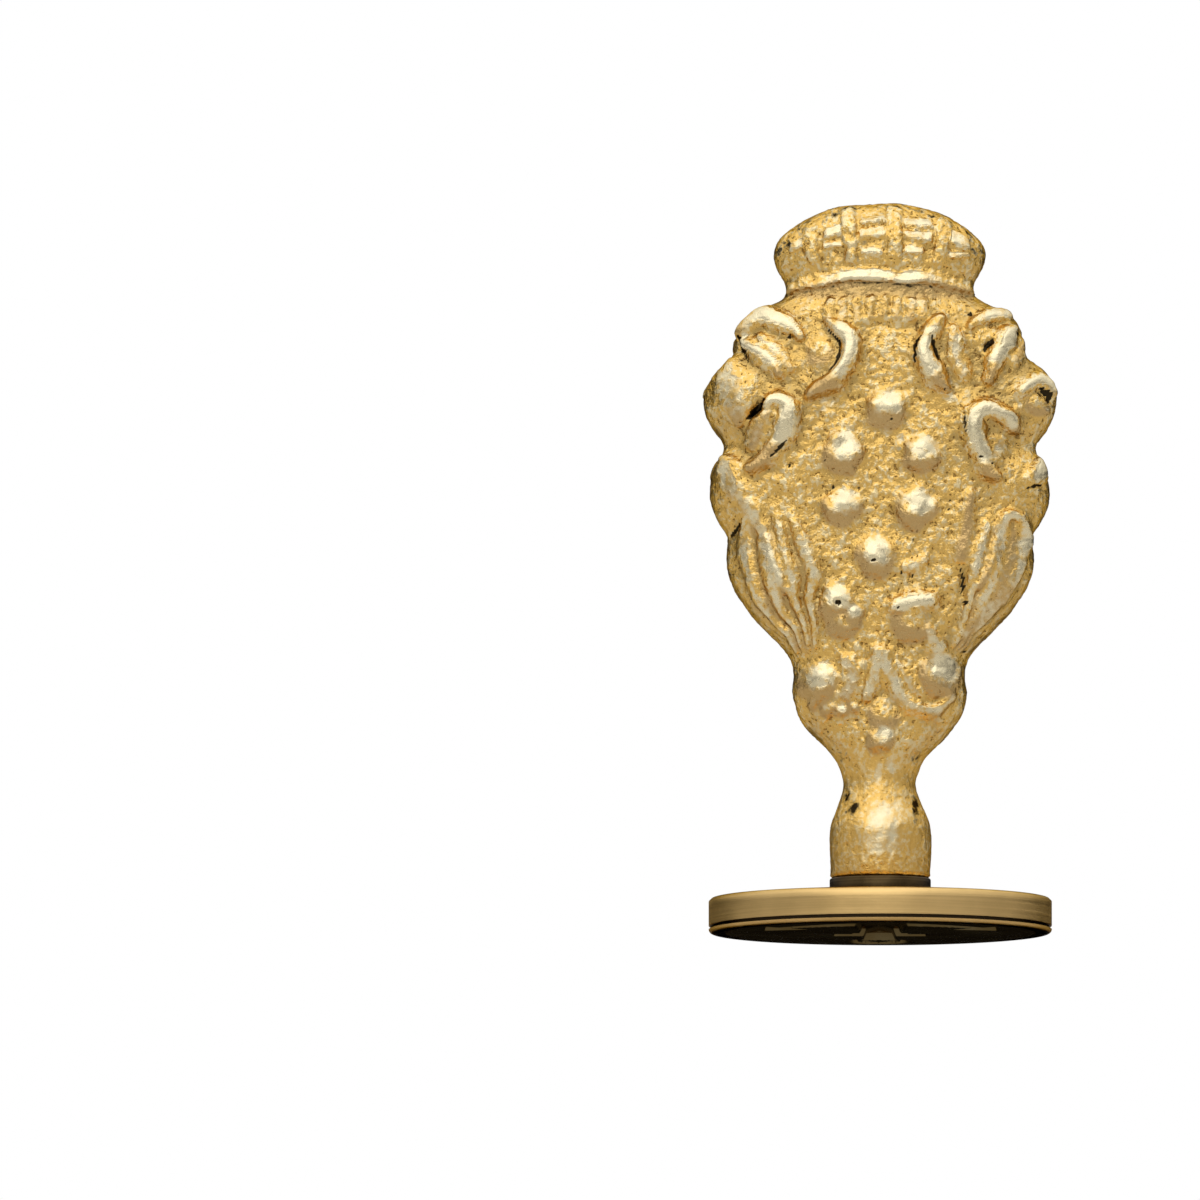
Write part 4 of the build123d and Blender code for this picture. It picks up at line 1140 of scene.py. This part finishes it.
class Shade:
    """One output socket of a shader node. Arithmetic on it adds Math nodes, so masks are formulas."""

    def __init__(self, tree, socket=None):
        self.tree = tree
        self.socket = socket

    def node(self, kind, settings, inputs, output=0):
        """Adds a node: its settings first, then its sockets' values or links. Returns one of its outputs."""
        made = self.tree.nodes.new(kind)
        for name, value in settings.items():
            setattr(made, name, value)
        for name, value in inputs.items():
            if isinstance(value, Shade):
                self.tree.links.new(value.socket, made.inputs[name])
            else:
                made.inputs[name].default_value = value
        return Shade(self.tree, made.outputs[output])

    def maths(self, operation, *values, clamp=False):
        """A Math node of that operation on sockets or numbers."""
        settings = {"operation": operation, "use_clamp": clamp}
        return self.node("ShaderNodeMath", settings, dict(enumerate(values)))

    def __add__(self, other):
        return self.maths("ADD", self, other)

    def __sub__(self, other):
        return self.maths("SUBTRACT", self, other)

    def __rsub__(self, other):
        return self.maths("SUBTRACT", other, self)

    def __mul__(self, other):
        return self.maths("MULTIPLY", self, other)

    __radd__ = __add__
    __rmul__ = __mul__

    def step(self, low, high):
        """0 where this is under low, 1 where it is over high, and smooth between them."""
        inputs = {"Value": self, "From Min": low, "From Max": high}
        return self.node("ShaderNodeMapRange", {"interpolation_type": "SMOOTHSTEP"}, inputs)

    def blend(self, first, second):
        """A colour that goes from first to second as this goes from 0 to 1."""
        settings = {"data_type": "RGBA", "blend_type": "MIX"}
        return self.node("ShaderNodeMix", settings, {0: self, 6: first, 7: second}, output=2)

    def show(self, output):
        """Makes this shader the surface of a material or world, by its output node."""
        self.tree.links.new(self.socket, output.inputs["Surface"])


def new_material(name):
    """An empty material, a place to start its nodes, and its output node."""
    material = bpy.data.materials.new(name)
    material.use_nodes = True
    tree = material.node_tree
    tree.nodes.clear()
    output = tree.nodes.new("ShaderNodeOutputMaterial")
    return material, Shade(tree), output


def finish_metal(start, output, colour, roughness, bump, constants):
    """A metal shader with that colour, roughness and bump, and its other sockets set directly."""
    inputs = {"Base Color": colour, "Roughness": roughness, "Normal": bump, "Metallic": 1.0}
    inputs.update(constants)
    start.node("ShaderNodeBsdfPrincipled", {}, inputs, output="BSDF").show(output)


def noise_at(start, place, scale, detail):
    """Fractal noise, about 0.5 in the middle, at that many cells to the metre."""
    inputs = {"Vector": place, "Scale": scale, "Detail": detail, "Roughness": NOISE_ROUGHNESS}
    return start.node("ShaderNodeTexNoise", {}, inputs, output=0)


def object_place(start, stretch=(1, 1, 1)):
    """Object coordinates, stretched along each axis."""
    place = start.node("ShaderNodeTexCoord", {}, {}, output="Object")
    return start.node("ShaderNodeMapping", {"vector_type": "POINT"}, {"Vector": place, "Scale": stretch})


def attribute(start, name):
    """A number stored at the mesh's points."""
    return start.node("ShaderNodeAttribute", {"attribute_name": name}, {}, output="Fac")


def bump_from(start, height, distance, strength):
    """A bump of that real depth."""
    inputs = {"Height": height, "Distance": distance, "Strength": strength}
    return start.node("ShaderNodeBump", {}, inputs)


def ray_is(start, kind):
    """1 for a ray of that kind and 0 for others."""
    return start.node("ShaderNodeLightPath", {}, {}, output=f"Is {kind} Ray")


def cast_brass():
    """Grainy cast brass: cream where forms are worn bright and as painted highlight, painted shade with
    patina in hollows, painted shade in grooves and on undersides, dark patina along the edge that also paints
    shade along the outline, and black staining with painted shadow in lines and pits. Every tone's border is
    broken up by noise."""
    material, start, output = new_material("cast_brass")
    place = object_place(start)
    fine, grain, patches = (noise_at(start, place, *noise) for noise in CAST_NOISES)
    names = ("hollow", "shine", "painted_shade", "stain_and_shadow", "under", "side", "calm")
    hollow, shine, painted_shade, stain_and_shadow, under, side, calm = (attribute(start, name) for name in names)
    speck = (grain * 0.75 + fine * 0.25 - 0.5) * (1 - calm * 0.3) + 0.5
    # Cream: wear and painted highlight.
    rub_and_highlight = (shine + (speck - 0.5) * 1.6 + (patches - 0.5) * 0.7).step(*CAST_RUB_AND_HIGHLIGHT)
    bright = (grain * 0.5 + fine * 0.5 - hollow * 0.06 + (patches - 0.5) * 0.2).step(*CAST_BRIGHT)
    bright = bright * (1 - painted_shade * 0.75) * (1 - calm * 0.3)
    dark = (grain * 0.4 + fine * 0.6 - hollow * 0.03).step(*CAST_DARK)
    dark = dark * (1 - shine * 0.9) * (1 - painted_shade * 0.5) * (1 - calm * 0.4)
    # Painted shade with patina in hollows.
    sunk = (hollow + (patches - 0.5) * 0.6 + (speck - 0.5) * 0.8).step(*CAST_SUNK) * 0.8
    # Painted shade on undersides, in grooves and on band tails.
    shade_mask = (painted_shade * 0.8 + under * 0.5 + (patches - 0.5) * 0.5).step(*CAST_SHADE_RAMP)
    # Dark patina along the edge, also painted shade along the outline.
    rim = (side * 0.6 + (speck - 0.5) * 1.8 + (patches - 0.5) * 3.4).step(*CAST_RIM)
    # Black staining with painted shadow in lines and pits.
    lines = (stain_and_shadow * 1.4 + (speck - 0.5) * 2.8 + (patches - 0.5) * 0.5 - 0.4).step(*CAST_LINES)
    colour = (bright * 0.9).blend(CAST_GOLD, CAST_PALE)
    colour = shade_mask.blend(colour, CAST_SHADE_BROWN)
    colour = sunk.blend(colour, CAST_HOLLOW_SHADE)
    colour = rub_and_highlight.blend(colour, CAST_CREAM_HIGHLIGHT)
    colour = (dark * 0.7).blend(colour, CAST_PIT)
    colour = (rim * side.step(*CAST_RIM_FADE)).blend(colour, CAST_PATINA_AND_EDGE_SHADE)
    colour = (lines * stain_and_shadow.step(*CAST_LINE_FADE)).blend(colour, CAST_BLACK_STAIN_AND_SHADOW)
    roughness = 0.30 - 0.02 * rub_and_highlight + 0.11 * calm + (fine - 0.5) * 0.2
    height = speck * (1.4 - rub_and_highlight * 0.9) - dark * 0.3
    bump = bump_from(start, height, *CAST_BUMP)
    finish_metal(start, output, colour, roughness, bump, {"Specular Tint": CAST_EDGE_TINT})
    return material


def die_brass():
    """Turned brass: fine lines round the wall, a softly polished, hazy face with small pits, and painted
    shade in the groove at the wall's foot.
    """
    material, start, output = new_material("die_brass")
    place = object_place(start)
    lines = noise_at(start, object_place(start, DIE_LINES), 1, 3)
    haze, grain, speck = (noise_at(start, place, *noise) for noise in DIE_NOISES)
    wall = attribute(start, "wall")
    cut = attribute(start, "cut")
    pits = speck.step(*DIE_PITS) * (1 - wall)
    face = haze.step(*DIE_HAZE).blend(DIE_SHADE, DIE_GOLD)
    face = (cut * 0.6).blend(face, DIE_CUT)
    sides = (lines * 0.6 + haze * 0.5).step(*DIE_STREAKS).blend(DIE_WALL_SHADE, DIE_WALL)
    colour = wall.blend(face, sides)
    colour = (pits * 0.7).blend(colour, DIE_WALL_SHADE)
    # Painted shade in the groove at the wall's foot.
    colour = attribute(start, "groove_shade").blend(colour, DIE_GROOVE_SHADE)
    roughness = 0.26 + wall * 0.10 + (haze - 0.5) * 0.14 + (lines - 0.5) * wall * 0.14
    height = lines * wall * 0.6 + grain * 0.35 - pits * 0.8
    bump = bump_from(start, height, *DIE_BUMP)
    finish_metal(start, output, colour, roughness, bump, {"Specular Tint": DIE_EDGE_TINT})
    return material


def collar_brass():
    """Dark turned brass with fine lines round it. Its darkness also paints the shade between the casting and
    the die.
    """
    material, start, output = new_material("collar_brass")
    lines = noise_at(start, object_place(start, COLLAR_LINES), 1, 3)
    haze = noise_at(start, object_place(start), *COLLAR_NOISE)
    colour = (lines * 0.6 + haze * 0.5).step(*COLLAR_STREAKS).blend(COLLAR_DARK, COLLAR_LIGHT)
    roughness = 0.30 + (haze - 0.5) * 0.2
    bump = bump_from(start, lines, *COLLAR_BUMP)
    finish_metal(start, output, colour, roughness, bump, {})
    return material


def stud_steel():
    """Plain threaded steel with faint lines round it."""
    material, start, output = new_material("stud_steel")
    haze = noise_at(start, object_place(start), *STEEL_NOISE)
    lines = noise_at(start, object_place(start, STEEL_LINES), 1, 2)
    colour = haze.step(*STEEL_HAZE).blend(STEEL_DARK, STEEL_LIGHT)
    roughness = 0.28 + (haze - 0.5) * 0.2
    bump = bump_from(start, lines, *STEEL_BUMP)
    finish_metal(start, output, colour, roughness, bump, {})
    return material


def stage_piece(name, profile, columns, faces):
    """A turned piece of the studio, in metres: its object, and a start and an output for its material."""
    points = turned_rings(profile, even_angles(columns)).reshape(-1, 3)
    mesh = bpy.data.meshes.new(name)
    mesh.from_pydata(points.tolist(), [], faces)
    piece = bpy.data.objects.new(name, mesh)
    bpy.context.scene.collection.objects.link(piece)
    material, start, output = new_material(name)
    mesh.materials.append(material)
    return piece, start, output


def make_floor():
    """A large pale floor just under the die and open under it. It fades to white far off. To the camera it
    is clear from below, because the main camera stands a little under it."""
    profile = ((FLOOR_RADIUS, -FLOOR_DROP), (FLOOR_HOLE, -FLOOR_DROP))
    _, _, faces = ring_faces(len(profile), FLOOR_COLUMNS)
    floor, start, output = stage_piece("floor", profile, FLOOR_COLUMNS, faces)
    under = start.node("ShaderNodeNewGeometry", {}, {}, output="Backfacing")
    seen = ray_is(start, "Camera")
    tone = ray_is(start, "Glossy").blend(FLOOR_COLOUR, FLOOR_MIRRORED)
    plain = start.node("ShaderNodeBsdfDiffuse", {}, {"Color": tone})
    clear = start.node("ShaderNodeBsdfTransparent", {}, {})
    white = start.node("ShaderNodeEmission", {}, {"Strength": 1.0})
    place = object_place(start)
    reach = start.node("ShaderNodeVectorMath", {"operation": "LENGTH"}, {0: place}, output="Value")
    far = reach.step(*FLOOR_FADE) * seen
    faded = start.node("ShaderNodeMixShader", {}, {0: far, 1: plain, 2: white})
    start.node("ShaderNodeMixShader", {}, {0: under * seen, 1: faded, 2: clear}).show(output)


def make_cards():
    """A ring of studio cards round the table, closed below it: dim underneath, dark at table height, darkest
    behind the stamp and brighter above."""
    profile = ((CARD_RADIUS, CARD_LOW), (CARD_RADIUS, CARD_HIGH))
    index, _, faces = ring_faces(len(profile), CARD_COLUMNS)
    faces.append(index[0].tolist())
    cards, start, output = stage_piece("studio_cards", profile, CARD_COLUMNS, faces)
    cards.visible_camera = False
    cards.visible_shadow = False
    place = object_place(start)
    height = start.node("ShaderNodeSeparateXYZ", {}, {"Vector": place}, output="Z")
    back = start.node("ShaderNodeSeparateXYZ", {}, {"Vector": place}, output="Y")
    level = CARD_DARK + height.step(*CARD_RISING) * (CARD_BRIGHT - CARD_DARK)
    level = level * (1 - back.step(*CARD_BEHIND) * height.step(*CARD_BLACK_TOP) * CARD_BLACK)
    level = level * (CARD_UNDER + height.step(*CARD_TABLE) * (1 - CARD_UNDER))
    start.node("ShaderNodeEmission", {}, {"Strength": level}).show(output)


def add_softbox(name, place, width, depth, power):
    """A rectangular soft lamp at place, turned to the stamp."""
    lamp = bpy.data.lights.new(name, "AREA")
    lamp.shape = "RECTANGLE"
    lamp.size = width
    lamp.size_y = depth
    lamp.energy = power
    softbox = bpy.data.objects.new(name, lamp)
    softbox.location = place
    softbox.rotation_euler = (Vector(LAMP_TARGET) - Vector(place)).to_track_quat("-Z", "Y").to_euler()
    bpy.context.scene.collection.objects.link(softbox)


def make_world():
    """White to camera, mirrored and transmitted rays, and a gentle grey as light on plain surfaces."""
    world = bpy.data.worlds.new("studio")
    world.use_nodes = True
    tree = world.node_tree
    tree.nodes.clear()
    start = Shade(tree)
    output = tree.nodes.new("ShaderNodeOutputWorld")
    direct = ray_is(start, "Camera") + ray_is(start, "Glossy")
    seen = start.maths("ADD", direct, ray_is(start, "Transmission"), clamp=True)
    strength = WORLD_LIGHT + seen * (1 - WORLD_LIGHT)
    start.node("ShaderNodeBackground", {}, {"Color": WHITE, "Strength": strength}).show(output)
    bpy.context.scene.world = world


def make_camera():
    """The photograph's camera: a little under the die's face, aimed beside the stamp so that it stands at the
    right."""
    data = bpy.data.cameras.new("camera")
    data.sensor_width = CAMERA_SENSOR
    data.lens = CAMERA_SENSOR * CAMERA_DISTANCE / FRAME_WIDTH
    data.clip_start = CAMERA_NEAREST
    data.clip_end = CAMERA_FARTHEST
    camera = bpy.data.objects.new("camera", data)
    tilt = radians(CAMERA_ELEVATION)
    away = Vector((0, -cos(tilt), sin(tilt)))
    centre = Vector(FRAME_CENTRE) * MM
    camera.location = centre + away * CAMERA_DISTANCE * MM
    camera.rotation_euler = (-away).to_track_quat("-Z", "Y").to_euler()
    bpy.context.scene.collection.objects.link(camera)
    bpy.context.scene.camera = camera


make_camera()
make_floor()
make_cards()
make_world()
for lamp in LAMPS:
    add_softbox(*lamp)

casting = make_casting()
die = make_die()
collar = make_collar()
stud = make_stud()
casting.data.materials.append(cast_brass())
die.data.materials.append(die_brass())
collar.data.materials.append(collar_brass())
stud.data.materials.append(stud_steel())

bpy.context.scene.view_settings.view_transform = "Standard"
